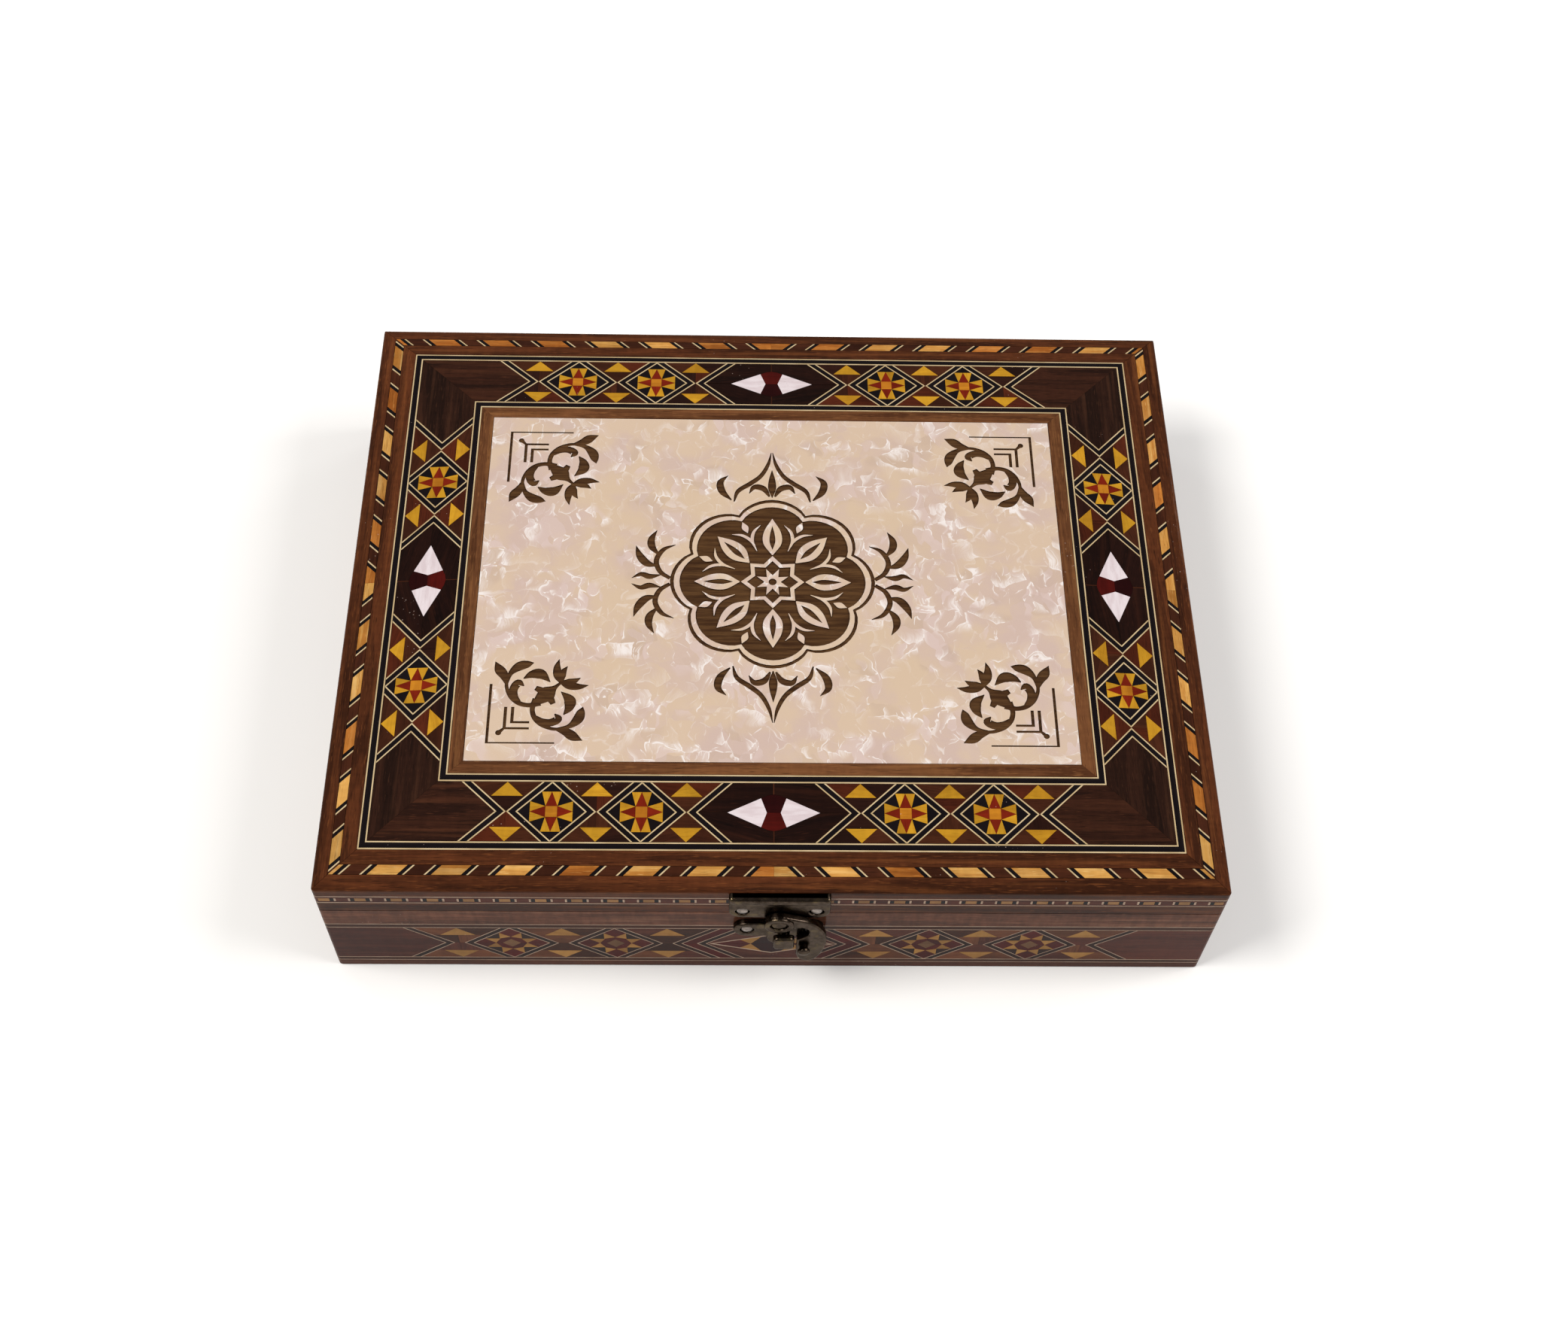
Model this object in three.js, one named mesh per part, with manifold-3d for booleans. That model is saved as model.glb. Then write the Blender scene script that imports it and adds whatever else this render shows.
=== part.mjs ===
// A lidded wooden box with marquetry, string inlay, a pearl-like centre sheet, two butt hinges and a swing-hook
// latch. Millimetres, +Z up. The origin is the centre of the underside, +X runs along the width and the latch
// faces -Y.
import * as THREE from "three";
import { ConvexGeometry } from "three/addons/geometries/ConvexGeometry.js";
import { mergeVertices } from "three/addons/utils/BufferGeometryUtils.js";
import Module from "manifold-3d";

const wasm = await Module();
wasm.setup();

// ---------- driving dimensions ----------

// The carcass.
const boxWidth = 250;
const boxDepth = 200;
const lidEdgeHeight = 48.5;
const splitHeight = 35.7;
const splitGap = 0.3;
const wallThickness = 10;
const bottomThickness = 3;
const edgeRadius = 1.2;
const jointGap = 0.1;
const veneer = 1.4;

// The lid's top, as insets from its outer edge, and how far the crown rises above that edge.
const borderEnd = 11.55;
const outerStringEnd = 14.05;
const marquetryEnd = 31.95;
const innerStringEnd = 34.45;
const innerFrameEnd = 38.4;
const crownBreaks = [
  { inset: 0, rise: 0 },
  { inset: (borderEnd + outerStringEnd) / 2, rise: 1.6 },
  { inset: (marquetryEnd + innerStringEnd) / 2, rise: 3.2 },
];
const ropeStart = 4.4;
const ropeEnd = 7.2;
const inlayDepth = 1;
const coreUnderside = 40.1;

// The bands on the outside, as heights.
const skirtInlayLow = 40.5;
const skirtInlayHigh = 44.5;
const lowerStringHigh = 5.2;
const upperStringLow = 24.8;
const upperStringHigh = 27.2;

// The linings.
const liningThickness = 1.1;
const liningGap = 0.15;
const liningTopClearance = 0.7;

// The hinges: the pin lies in the split, inside a V groove whose flanks stop the lid.
const hingeInset = 2;
const hingeSpacing = 150;
const hingeLength = 18;
const knuckleGap = 0.3;
const barrelRadius = 1.6;
const barrelClearance = 0.3;
const pinRadius = 0.6;
const pinBore = 0.75;
const pinOverhang = 0.2;
const leafThickness = 0.8;
const leafReach = 6.8;
const leafSink = 0.05;
const stopFlankAngle = THREE.MathUtils.degToRad(51);
const leafNailSpacing = 12;
const leafNailReach = 4.6;

// Nails. A head sits in a counterbore that is wider by the clearance.
const leafNail = { headRadius: 1.2, headHeight: 0.35, shankRadius: 0.5, length: 6 };
const plateNail = { headRadius: 1.7, headHeight: 0.8, shankRadius: 0.6, length: 8 };
const nailClearance = 0.15;

// The latch, measured from its own centre line. "Proud" is the distance out from the box's front face.
const latchX = 1.7;
const latchPivotHeight = 35.9;
const plateProud = 1.9;
const plateBevel = 0.3;
const upperPlate = { halfWidth: 13.9, low: 36.2, high: 47.9, topRadius: 1, lobeRadius: 3.7 };
const upperNail = { x: 10.2, height: 39.7 };
const tongueRadius = 4.1;
const bead = { low: 44.8, proud: 2.5 };
const lowerPlate = { halfWidth: 12.6, height: 28, radius: 3.8, dipRadius: 4.6 };
const lowerPlateLobe = { x: 0.6, height: 23, radius: 3.9 };
const lowerNailX = 8.8;
const catchStud = { x: 1.4, height: 27.3, neckRadius: 1.7, width: 5.9, tall: 6.2, corner: 1.3 };
const catchHead = { low: 4.2, high: 6.1 };
const hookProud = { low: 2.2, high: 3.9, boss: 4.6 };
const hookBevel = 0.4;
const bossRadius = 4.1;

// The hook's outline about its pivot. Its mouth follows the arc on which the catch's neck passes.
const hookShoulderAngle = Math.PI / 3;
const hookMouth = {
  radius: 11,
  fromAngle: THREE.MathUtils.degToRad(-42.4),
  toAngle: THREE.MathUtils.degToRad(-62),
  throat: [
    [[4.2, -2.6], [6.3, -2.2]],
    [[9.2, -3.4], [8.1, -7.4]],
  ],
};
const hookTip = [5.1, -19.6];
const hookBack = [
  [6.1, -22.6],
  [9, -23.8],
  [11.6, -20.8],
  [13.1, -15],
  [13.4, -9],
  [12.2, -4.2],
  [8.6, 0.6],
];

const rivetRecess = { radius: 2.4, floor: 3.6 };
const rivet = { shankRadius: 1.1, headRadius: 2.2, headTop: 4.3 };
const rivetClearance = 0.12;
const thumbStud = { x: 7.2, height: -14.5, radius: 1.7, proud: 6 };
const thumbStudNeck = { radius: 1.2, length: 0.4, flare: 0.5 };

// How finely round things are faceted.
const fineSegments = 20;
const coarseSegments = 12;
const cornerSegments = 4;

// ---------- materials ----------

function material(color, roughness, metalness = 0) {
  return new THREE.MeshStandardMaterial({ color, roughness, metalness });
}

const walnut = material(0x6e4628, 0.35);
const frameWalnut = material(0x8a5f3a, 0.35);
const marquetry = material(0x4a2c20, 0.3);
const stringInlay = material(0xd8c8a8, 0.3);
const ropeInlay = material(0xc08a50, 0.3);
const pearl = material(0xe4d2c4, 0.15);
const plainWood = material(0x9a7650, 0.6);
const velvet = material(0x6a1018, 0.95);
const brass = material(0xa8874a, 0.35, 1);
const bronze = material(0x5a5238, 0.35, 1);
const steel = material(0xb0aca4, 0.3, 1);

// ---------- geometry helpers ----------

// A closed geometry as a solid for cutting and joining.
function solidOf(geometry) {
  const bare = geometry.clone();
  bare.deleteAttribute("normal");
  bare.deleteAttribute("uv");
  const merged = mergeVertices(bare, 1e-4);
  const vertProperties = merged.getAttribute("position").array;
  const triVerts = new Uint32Array(merged.index.array);
  return new wasm.Manifold(new wasm.Mesh({ numProp: 3, vertProperties, triVerts }));
}

function geometryOf(solid) {
  const mesh = solid.getMesh();
  const indexed = new THREE.BufferGeometry();
  indexed.setAttribute("position", new THREE.BufferAttribute(mesh.vertProperties, 3));
  indexed.setIndex(new THREE.BufferAttribute(mesh.triVerts, 1));
  const geometry = indexed.toNonIndexed();
  geometry.computeVertexNormals();
  return geometry;
}

function cut(geometry, ...tools) {
  return geometryOf(tools.reduce((solid, tool) => solid.subtract(solidOf(tool)), solidOf(geometry)));
}

function join(...geometries) {
  return geometryOf(geometries.map(solidOf).reduce((whole, piece) => whole.add(piece)));
}

function trim(geometry, envelope) {
  return geometryOf(solidOf(geometry).intersect(solidOf(envelope)));
}

function extrude(shape, depth, bevel = 0, curveSegments = coarseSegments) {
  const geometry = new THREE.ExtrudeGeometry(shape, {
    depth: depth - 2 * bevel,
    curveSegments,
    bevelEnabled: bevel > 0,
    bevelThickness: bevel,
    bevelSize: bevel,
    bevelOffset: -bevel,
    bevelSegments: 2,
  });
  return geometry.translate(0, 0, bevel);
}

// A block between two corners.
function block(low, high) {
  const size = high.map((value, axis) => value - low[axis]);
  const centre = high.map((value, axis) => (value + low[axis]) / 2);
  return new THREE.BoxGeometry(...size).translate(...centre);
}

function roundedRectangle(halfWidth, low, high, lowRadius, highRadius) {
  const quarter = Math.PI / 2;
  const shape = new THREE.Shape();
  shape.absarc(halfWidth - highRadius, high - highRadius, highRadius, 0, quarter);
  shape.absarc(highRadius - halfWidth, high - highRadius, highRadius, quarter, 2 * quarter);
  shape.absarc(lowRadius - halfWidth, low + lowRadius, lowRadius, 2 * quarter, 3 * quarter);
  shape.absarc(halfWidth - lowRadius, low + lowRadius, lowRadius, 3 * quarter, 4 * quarter);
  return shape;
}

function disc(x, y, radius) {
  return new THREE.Shape().absarc(x, y, radius, 0, 2 * Math.PI);
}

// A round peg standing on the XY plane at (x, y), from one Z to another.
function peg(x, y, radius, low, high, segments = coarseSegments) {
  const cylinder = new THREE.CylinderGeometry(radius, radius, high - low, segments);
  return cylinder.rotateX(Math.PI / 2).translate(x, y, (low + high) / 2);
}

// ---------- the four sides ----------

// Each side is drawn at the front, its outer face at y = -halfAcross, and its group is turned into place.
const sides = [
  { name: "front", turn: 0, halfLength: boxWidth / 2, halfAcross: boxDepth / 2 },
  { name: "right", turn: Math.PI / 2, halfLength: boxDepth / 2, halfAcross: boxWidth / 2 },
  { name: "back", turn: Math.PI, halfLength: boxWidth / 2, halfAcross: boxDepth / 2 },
  { name: "left", turn: -Math.PI / 2, halfLength: boxDepth / 2, halfAcross: boxWidth / 2 },
];

// A straight rail along a side, its ends cut at 45 degrees. The profile is an outline of [inset, height].
function mitredRail(profile, side, endGap = jointGap) {
  const outline = new THREE.Shape(profile.map(([inset, height]) => new THREE.Vector2(inset, height)));
  const rail = new THREE.ExtrudeGeometry(outline, { depth: 1, steps: 1, bevelEnabled: false });
  const position = rail.getAttribute("position");
  for (let i = 0; i < position.count; i++) {
    const inset = position.getX(i);
    const height = position.getY(i);
    const reach = side.halfLength - inset - endGap / Math.SQRT2;
    const along = position.getZ(i) > 0.5 ? reach : -reach;
    position.setXYZ(i, along, inset - side.halfAcross, height);
  }
  return rail;
}

// The same profile led round all four sides as one closed frame.
function mitredRing(profile) {
  return join(...sides.map((side) => mitredRail(profile, side, 0).rotateZ(side.turn)));
}

// The box's outer skin with its upright corners rounded, seen from a side's own position.
function envelope(side) {
  const { halfLength, halfAcross } = side;
  const shape = roundedRectangle(halfLength, -halfAcross, halfAcross, edgeRadius, edgeRadius);
  return extrude(shape, 2 * lidEdgeHeight, 0, cornerSegments);
}

function outerRail(profile, side) {
  return trim(mitredRail(profile, side), envelope(side));
}

function outerRing(profile) {
  return trim(mitredRing(profile), envelope(sides[0]));
}

function rectangleProfile(start, end, low, high) {
  return [
    [start, low],
    [end, low],
    [end, high],
    [start, high],
  ];
}

// ---------- the lid's crowned top ----------

function crownHeight(inset) {
  const next = crownBreaks.findIndex((point) => point.inset > inset);
  if (next < 0) return lidEdgeHeight + crownBreaks.at(-1).rise;
  const lower = crownBreaks[next - 1];
  const upper = crownBreaks[next];
  const share = (inset - lower.inset) / (upper.inset - lower.inset);
  return lidEdgeHeight + lower.rise + (upper.rise - lower.rise) * share;
}

// Points along the crown between two insets, lowered by a drop.
function crownLine(start, end, drop = 0) {
  const bends = crownBreaks.map((point) => point.inset).filter((inset) => inset > start && inset < end);
  return [start, ...bends, end].map((inset) => [inset, crownHeight(inset) - drop]);
}

// A sheet that follows the crown from one band's start to its end.
function crownSheet(start, end, thickness) {
  const from = start + jointGap / 2;
  const to = end - jointGap / 2;
  return [...crownLine(from, to, thickness), ...crownLine(from, to).reverse()];
}

function lidRailProfile() {
  const low = splitHeight + splitGap / 2;
  const edgeArc = [];
  for (let step = 0; step <= cornerSegments; step++) {
    const angle = (step / cornerSegments) * (Math.PI / 2);
    const inset = edgeRadius * (1 - Math.sin(angle));
    edgeArc.push([inset, lidEdgeHeight - edgeRadius * (1 - Math.cos(angle))]);
  }
  return [
    [0, low],
    [wallThickness, low],
    ...crownLine(wallThickness, borderEnd - jointGap / 2, veneer),
    ...crownLine(ropeEnd + jointGap, borderEnd - jointGap / 2).reverse(),
    [ropeEnd + jointGap, crownHeight(ropeEnd) - inlayDepth - jointGap],
    [ropeStart - jointGap, crownHeight(ropeStart) - inlayDepth - jointGap],
    [ropeStart - jointGap, crownHeight(ropeStart - jointGap)],
    ...edgeArc,
    [0, skirtInlayHigh + jointGap],
    [inlayDepth + jointGap, skirtInlayHigh + jointGap],
    [inlayDepth + jointGap, skirtInlayLow - jointGap],
    [0, skirtInlayLow - jointGap],
  ];
}

function lidCore() {
  const points = [];
  const start = wallThickness + jointGap;
  const levels = [[start, coreUnderside], ...crownLine(start, innerFrameEnd, veneer + jointGap)];
  for (const [inset, height] of levels) {
    for (const signX of [-1, 1]) {
      for (const signY of [-1, 1]) {
        const x = signX * (boxWidth / 2 - inset);
        const y = signY * (boxDepth / 2 - inset);
        points.push(new THREE.Vector3(x, y, height));
      }
    }
  }
  return new ConvexGeometry(points);
}

// ---------- the base ----------

const wallLow = bottomThickness + jointGap;
const wallHigh = splitHeight - splitGap / 2;

function baseWallProfile() {
  const rebate = veneer + jointGap;
  return [
    [rebate, wallLow],
    [wallThickness, wallLow],
    [wallThickness, wallHigh],
    [0, wallHigh],
    [0, upperStringHigh + jointGap],
    [rebate, upperStringHigh + jointGap],
  ];
}

function bottomBoard() {
  const shape = roundedRectangle(boxWidth / 2, -boxDepth / 2, boxDepth / 2, edgeRadius, edgeRadius);
  return extrude(shape, bottomThickness, 0, cornerSegments);
}

// ---------- nails ----------

// A nail that points down, its domed head's top at Z = 0.
function nail({ headRadius, headHeight, shankRadius, length }) {
  const dome = headHeight / 2;
  const pointLength = 3 * shankRadius;
  const shoulder = headRadius * Math.SQRT1_2;
  const profile = [
    [0, -length],
    [shankRadius, -length + pointLength],
    [shankRadius, -headHeight],
    [headRadius, -headHeight],
    [headRadius, -dome],
    [shoulder, -dome / 4],
    [0, 0],
  ];
  const points = profile.map(([radius, height]) => new THREE.Vector2(radius, height));
  return new THREE.LatheGeometry(points, coarseSegments).rotateX(Math.PI / 2);
}

// The hole for that nail: a counterbore for the head and a pilot for the shank.
function nailHole({ headRadius, headHeight, shankRadius, length }) {
  const pilot = peg(0, 0, shankRadius + nailClearance, -length - nailClearance, 1);
  const counterbore = peg(0, 0, headRadius + nailClearance, -headHeight - nailClearance / 2, 1);
  return join(pilot, counterbore);
}

// ---------- the hinges ----------

const hingeY = boxDepth / 2 - hingeInset;
const relief = barrelRadius + barrelClearance;
const hingeXs = [-hingeSpacing / 2, hingeSpacing / 2];
const nailXs = [-leafNailSpacing / 2, leafNailSpacing / 2];
const lidKnuckleHalf = hingeLength / 6;

// A leaf about its own pin axis, which runs along X through the origin. Side is -1 below the split, 1 above.
function hingeLeaf(side) {
  const inner = splitGap / 2 + leafSink;
  const outer = inner + leafThickness;
  const half = hingeLength / 2;
  const low = Math.min(side * inner, side * outer);
  const high = Math.max(side * inner, side * outer);
  const plate = block([-half, -leafReach, low], [half, -relief, high]);
  const spans = side > 0
    ? [[-lidKnuckleHalf, lidKnuckleHalf]]
    : [
        [-half, -lidKnuckleHalf - knuckleGap],
        [lidKnuckleHalf + knuckleGap, half],
      ];
  const knuckles = spans.flatMap(([from, to]) => [
    alongX(barrelRadius, from, to),
    block([from, -relief - jointGap, low], [to, -pinBore, high]),
  ]);
  const holes = nailXs.map((x) => {
    const hole = nailHole(leafNail);
    if (side > 0) hole.rotateX(Math.PI);
    return hole.translate(x, -leafNailReach, side * inner);
  });
  return cut(join(plate, ...knuckles), alongX(pinBore, -hingeLength, hingeLength), ...holes);
}

function alongX(radius, from, to) {
  const cylinder = new THREE.CylinderGeometry(radius, radius, to - from, coarseSegments);
  return cylinder.rotateZ(Math.PI / 2).translate((from + to) / 2, 0, 0);
}

// One flank of the V groove along the back, right out to the corners.
function stopFlank(side) {
  const flank = new THREE.Shape();
  const edge = side * (splitGap / 2);
  const reach = 2 * hingeInset;
  flank.moveTo(0, edge - side);
  flank.lineTo(reach, edge - side);
  flank.lineTo(reach, edge + side * reach * Math.tan(stopFlankAngle));
  flank.lineTo(0, edge);
  const groove = new THREE.ExtrudeGeometry(flank, { depth: 2 * boxWidth, bevelEnabled: false });
  return groove.rotateX(Math.PI / 2).rotateZ(Math.PI / 2).translate(-boxWidth, hingeY, splitHeight);
}

// What the back rails lose to the hinges: the barrels' trough, the leaves' beds and the nails' pilots.
function hingeBeds(side) {
  const cuts = [];
  const bed = splitGap / 2 + leafSink + leafThickness + jointGap;
  const half = hingeLength / 2 + jointGap + pinOverhang;
  for (const x of hingeXs) {
    cuts.push(alongX(relief, -half, half).translate(x, hingeY, splitHeight));
    const low = [x - half, hingeY - leafReach - jointGap, splitHeight + Math.min(0, side * bed)];
    const high = [x + half, hingeY, splitHeight + Math.max(0, side * bed)];
    cuts.push(block(low, high));
    for (const nailX of nailXs) {
      const hole = nailHole(leafNail);
      if (side > 0) hole.rotateX(Math.PI);
      const height = splitHeight + side * (splitGap / 2 + leafSink);
      cuts.push(hole.translate(x + nailX, hingeY - leafNailReach, height));
    }
  }
  return cuts;
}

function hingePin() {
  const half = hingeLength / 2 + pinOverhang;
  return alongX(pinRadius, -half, half);
}

// ---------- the latch: drawn flat, with X across, Y up and Z proud of the face ----------

function plateBody(shape) {
  return extrude(shape, plateProud - jointGap, plateBevel).translate(0, 0, jointGap);
}

function latchNailHole(x, height) {
  return nailHole(plateNail).translate(x, height, plateProud);
}

function latchPlate() {
  const { halfWidth, low, high, topRadius, lobeRadius } = upperPlate;
  const body = plateBody(roundedRectangle(halfWidth, low, high, lobeRadius, topRadius));
  const tongue = plateBody(disc(0, latchPivotHeight, tongueRadius));
  const rim = roundedRectangle(halfWidth, bead.low, high, topRadius, topRadius);
  const rolledRim = extrude(rim, bead.proud - jointGap, 2 * plateBevel).translate(0, 0, jointGap);
  return cut(
    join(body, tongue, rolledRim),
    latchNailHole(-upperNail.x, upperNail.height),
    latchNailHole(upperNail.x, upperNail.height),
    peg(0, latchPivotHeight, rivet.shankRadius + rivetClearance, -1, plateProud + 1),
  );
}

function catchPlate() {
  const { halfWidth, height, radius, dipRadius } = lowerPlate;
  const bar = plateBody(roundedRectangle(halfWidth, height - radius, height + radius, radius, radius));
  const lobe = plateBody(disc(lowerPlateLobe.x, lowerPlateLobe.height, lowerPlateLobe.radius));
  return cut(
    join(bar, lobe),
    latchNailHole(-lowerNailX, height),
    latchNailHole(lowerNailX, height),
    peg(0, latchPivotHeight, dipRadius, -1, plateProud + 1, fineSegments),
    peg(catchStud.x, catchStud.height, rivet.shankRadius + rivetClearance, -1, plateProud + 1),
  );
}

function catchKnob() {
  const { x, height, neckRadius, width, tall, corner } = catchStud;
  const face = roundedRectangle(width / 2, height - tall / 2, height + tall / 2, corner, corner);
  const head = extrude(face, catchHead.high - catchHead.low, hookBevel).translate(x, 0, catchHead.low);
  const neck = peg(x, height, neckRadius, plateProud + jointGap, catchHead.low + hookBevel);
  const shank = peg(x, height, rivet.shankRadius, 2 * jointGap, catchHead.low);
  return join(head, neck, shank);
}

function hookOutline() {
  const { throat, fromAngle, toAngle } = hookMouth;
  const shape = new THREE.Shape();
  const bossEnd = new THREE.Vector2(bossRadius, 0).rotateAround(new THREE.Vector2(), hookShoulderAngle);
  shape.absarc(0, 0, bossRadius, hookShoulderAngle, 2 * Math.PI - hookShoulderAngle);
  for (const [control, end] of throat) shape.quadraticCurveTo(...control, ...end);
  shape.absarc(0, 0, hookMouth.radius, fromAngle, toAngle, true);
  shape.lineTo(...hookTip);
  shape.splineThru([...hookBack.map(([x, y]) => new THREE.Vector2(x, y)), bossEnd]);
  return shape;
}

function latchHook() {
  const arm = extrude(hookOutline(), hookProud.high - hookProud.low, hookBevel, 5);
  const boss = extrude(disc(0, 0, bossRadius), hookProud.boss - hookProud.low, hookBevel);
  const { x, height, radius, proud } = thumbStud;
  const { flare } = thumbStudNeck;
  const root = hookProud.high - hookBevel;
  const neckTop = hookProud.high + thumbStudNeck.length;
  const profile = [
    [0, root],
    [thumbStudNeck.radius, root],
    [thumbStudNeck.radius, neckTop],
    [radius, neckTop + flare],
    [radius, proud - flare],
    [thumbStudNeck.radius, proud - flare / 4],
    [0, proud],
  ];
  const points = profile.map(([r, z]) => new THREE.Vector2(r, z));
  const stud = new THREE.LatheGeometry(points, coarseSegments).rotateX(Math.PI / 2).translate(x, height, 0);
  return cut(
    join(arm.translate(0, 0, hookProud.low), boss.translate(0, 0, hookProud.low), stud),
    peg(0, 0, rivetRecess.radius, rivetRecess.floor, hookProud.boss + 1, fineSegments),
    peg(0, 0, rivet.shankRadius + rivetClearance, 0, hookProud.boss + 1),
  );
}

function hookRivet() {
  const { shankRadius, headRadius, headTop } = rivet;
  const seat = rivetRecess.floor + rivetClearance;
  const chamfer = (headTop - seat) / 3;
  const profile = [
    [0, 2 * jointGap],
    [shankRadius, 2 * jointGap],
    [shankRadius, seat],
    [headRadius, seat],
    [headRadius, headTop - chamfer],
    [headRadius - chamfer, headTop],
    [0, headTop],
  ];
  const points = profile.map(([r, z]) => new THREE.Vector2(r, z));
  return new THREE.LatheGeometry(points, coarseSegments).rotateX(Math.PI / 2);
}

// A pilot hole through the front timbers, behind one of the latch's nails.
function frontPilot(x, height) {
  const hole = nailHole(plateNail).translate(0, 0, plateProud).rotateX(Math.PI / 2);
  return hole.translate(latchX + x, -boxDepth / 2, height);
}

// ---------- assembly ----------

const box = new THREE.Group();
const base = new THREE.Group();
const lid = new THREE.Group();
box.add(base, lid);

function addPiece(parent, name, geometry, look) {
  const mesh = new THREE.Mesh(geometry, look);
  mesh.name = name;
  parent.add(mesh);
  return mesh;
}

function addTurned(parent, side) {
  const group = new THREE.Group();
  group.rotation.z = side.turn;
  parent.add(group);
  return group;
}

// Extra cuts in a wall or rail: the stop's groove, the back's hinge beds and the front's latch pilots.
function railCuts(side, above) {
  if (side.name === "front") {
    const reach = above ? upperNail.x : lowerNailX;
    const height = above ? upperNail.height : lowerPlate.height;
    return [frontPilot(-reach, height), frontPilot(reach, height)];
  }
  const half = above ? 1 : -1;
  const cuts = [stopFlank(half)];
  if (side.name === "back") cuts.push(...hingeBeds(half));
  return cuts.map((tool) => tool.rotateZ(-side.turn));
}

function liningPanel(side) {
  const start = wallThickness + liningGap;
  const floor = bottomThickness + liningThickness + 2 * liningGap;
  const profile = rectangleProfile(start, start + liningThickness, floor, wallHigh - liningTopClearance);
  return mitredRail(profile, side);
}

for (const side of sides) {
  const lower = addTurned(base, side);
  const wall = cut(outerRail(baseWallProfile(), side), ...railCuts(side, false));
  addPiece(lower, `base_wall_${side.name}`, wall, walnut);
  const panel = rectangleProfile(0, veneer, lowerStringHigh + jointGap, upperStringLow - jointGap);
  addPiece(lower, `base_marquetry_${side.name}`, outerRail(panel, side), marquetry);
  addPiece(lower, `wall_lining_${side.name}`, liningPanel(side), velvet);

  const upper = addTurned(lid, side);
  const rail = cut(outerRail(lidRailProfile(), side), ...railCuts(side, true));
  addPiece(upper, `lid_rail_${side.name}`, rail, walnut);
  const slope = crownSheet(outerStringEnd, marquetryEnd, veneer);
  addPiece(upper, `lid_marquetry_${side.name}`, mitredRail(slope, side), marquetry);
  const frame = crownSheet(innerStringEnd, innerFrameEnd, veneer);
  addPiece(upper, `lid_inner_frame_${side.name}`, mitredRail(frame, side), frameWalnut);
}

addPiece(base, "bottom_board", bottomBoard(), plainWood);
const lowerString = rectangleProfile(0, veneer, wallLow, lowerStringHigh);
addPiece(base, "base_lower_string", outerRing(lowerString), stringInlay);
const upperString = rectangleProfile(0, veneer, upperStringLow, upperStringHigh);
addPiece(base, "base_upper_string", outerRing(upperString), stringInlay);

// A flat lining that fills the space between the walls, upwards from a height.
function flatLining(height) {
  const margin = wallThickness + liningGap;
  const x = boxWidth / 2 - margin;
  const y = boxDepth / 2 - margin;
  return block([-x, -y, height], [x, y, height + liningThickness]);
}
addPiece(base, "floor_lining", flatLining(bottomThickness + liningGap), velvet);
addPiece(lid, "lid_lining", flatLining(coreUnderside - liningGap - liningThickness), velvet);

addPiece(lid, "lid_core", lidCore(), plainWood);
const rope = crownSheet(ropeStart - jointGap / 2, ropeEnd + jointGap / 2, inlayDepth);
addPiece(lid, "lid_rope_inlay", mitredRing(rope), ropeInlay);
const skirtInlay = rectangleProfile(0, inlayDepth, skirtInlayLow, skirtInlayHigh);
addPiece(lid, "lid_skirt_inlay", outerRing(skirtInlay), stringInlay);
addPiece(lid, "lid_outer_string", mitredRing(crownSheet(borderEnd, outerStringEnd, veneer)), stringInlay);
addPiece(lid, "lid_inner_string", mitredRing(crownSheet(marquetryEnd, innerStringEnd, veneer)), stringInlay);
const pearlX = boxWidth / 2 - innerFrameEnd - jointGap / 2;
const pearlY = boxDepth / 2 - innerFrameEnd - jointGap / 2;
const pearlTop = crownHeight(innerFrameEnd);
const pearlSheet = block([-pearlX, -pearlY, pearlTop - veneer], [pearlX, pearlY, pearlTop]);
addPiece(lid, "lid_pearl_sheet", pearlSheet, pearl);

hingeXs.forEach((x, index) => {
  const end = index === 0 ? "left" : "right";
  const place = (parent) => {
    const group = new THREE.Group();
    group.position.set(x, hingeY, splitHeight);
    parent.add(group);
    return group;
  };
  const lower = place(base);
  const upper = place(lid);
  addPiece(lower, `hinge_base_leaf_${end}`, hingeLeaf(-1), brass);
  addPiece(upper, `hinge_lid_leaf_${end}`, hingeLeaf(1), brass);
  addPiece(lower, `hinge_pin_${end}`, hingePin(), steel);
  const flush = splitGap / 2 + leafSink;
  nailXs.forEach((nailX, number) => {
    const below = addPiece(lower, `hinge_base_nail_${end}_${number + 1}`, nail(leafNail), brass);
    below.position.set(nailX, -leafNailReach, -flush);
    const above = addPiece(upper, `hinge_lid_nail_${end}_${number + 1}`, nail(leafNail), brass);
    above.rotation.x = Math.PI;
    above.position.set(nailX, -leafNailReach, flush);
  });
});

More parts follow.
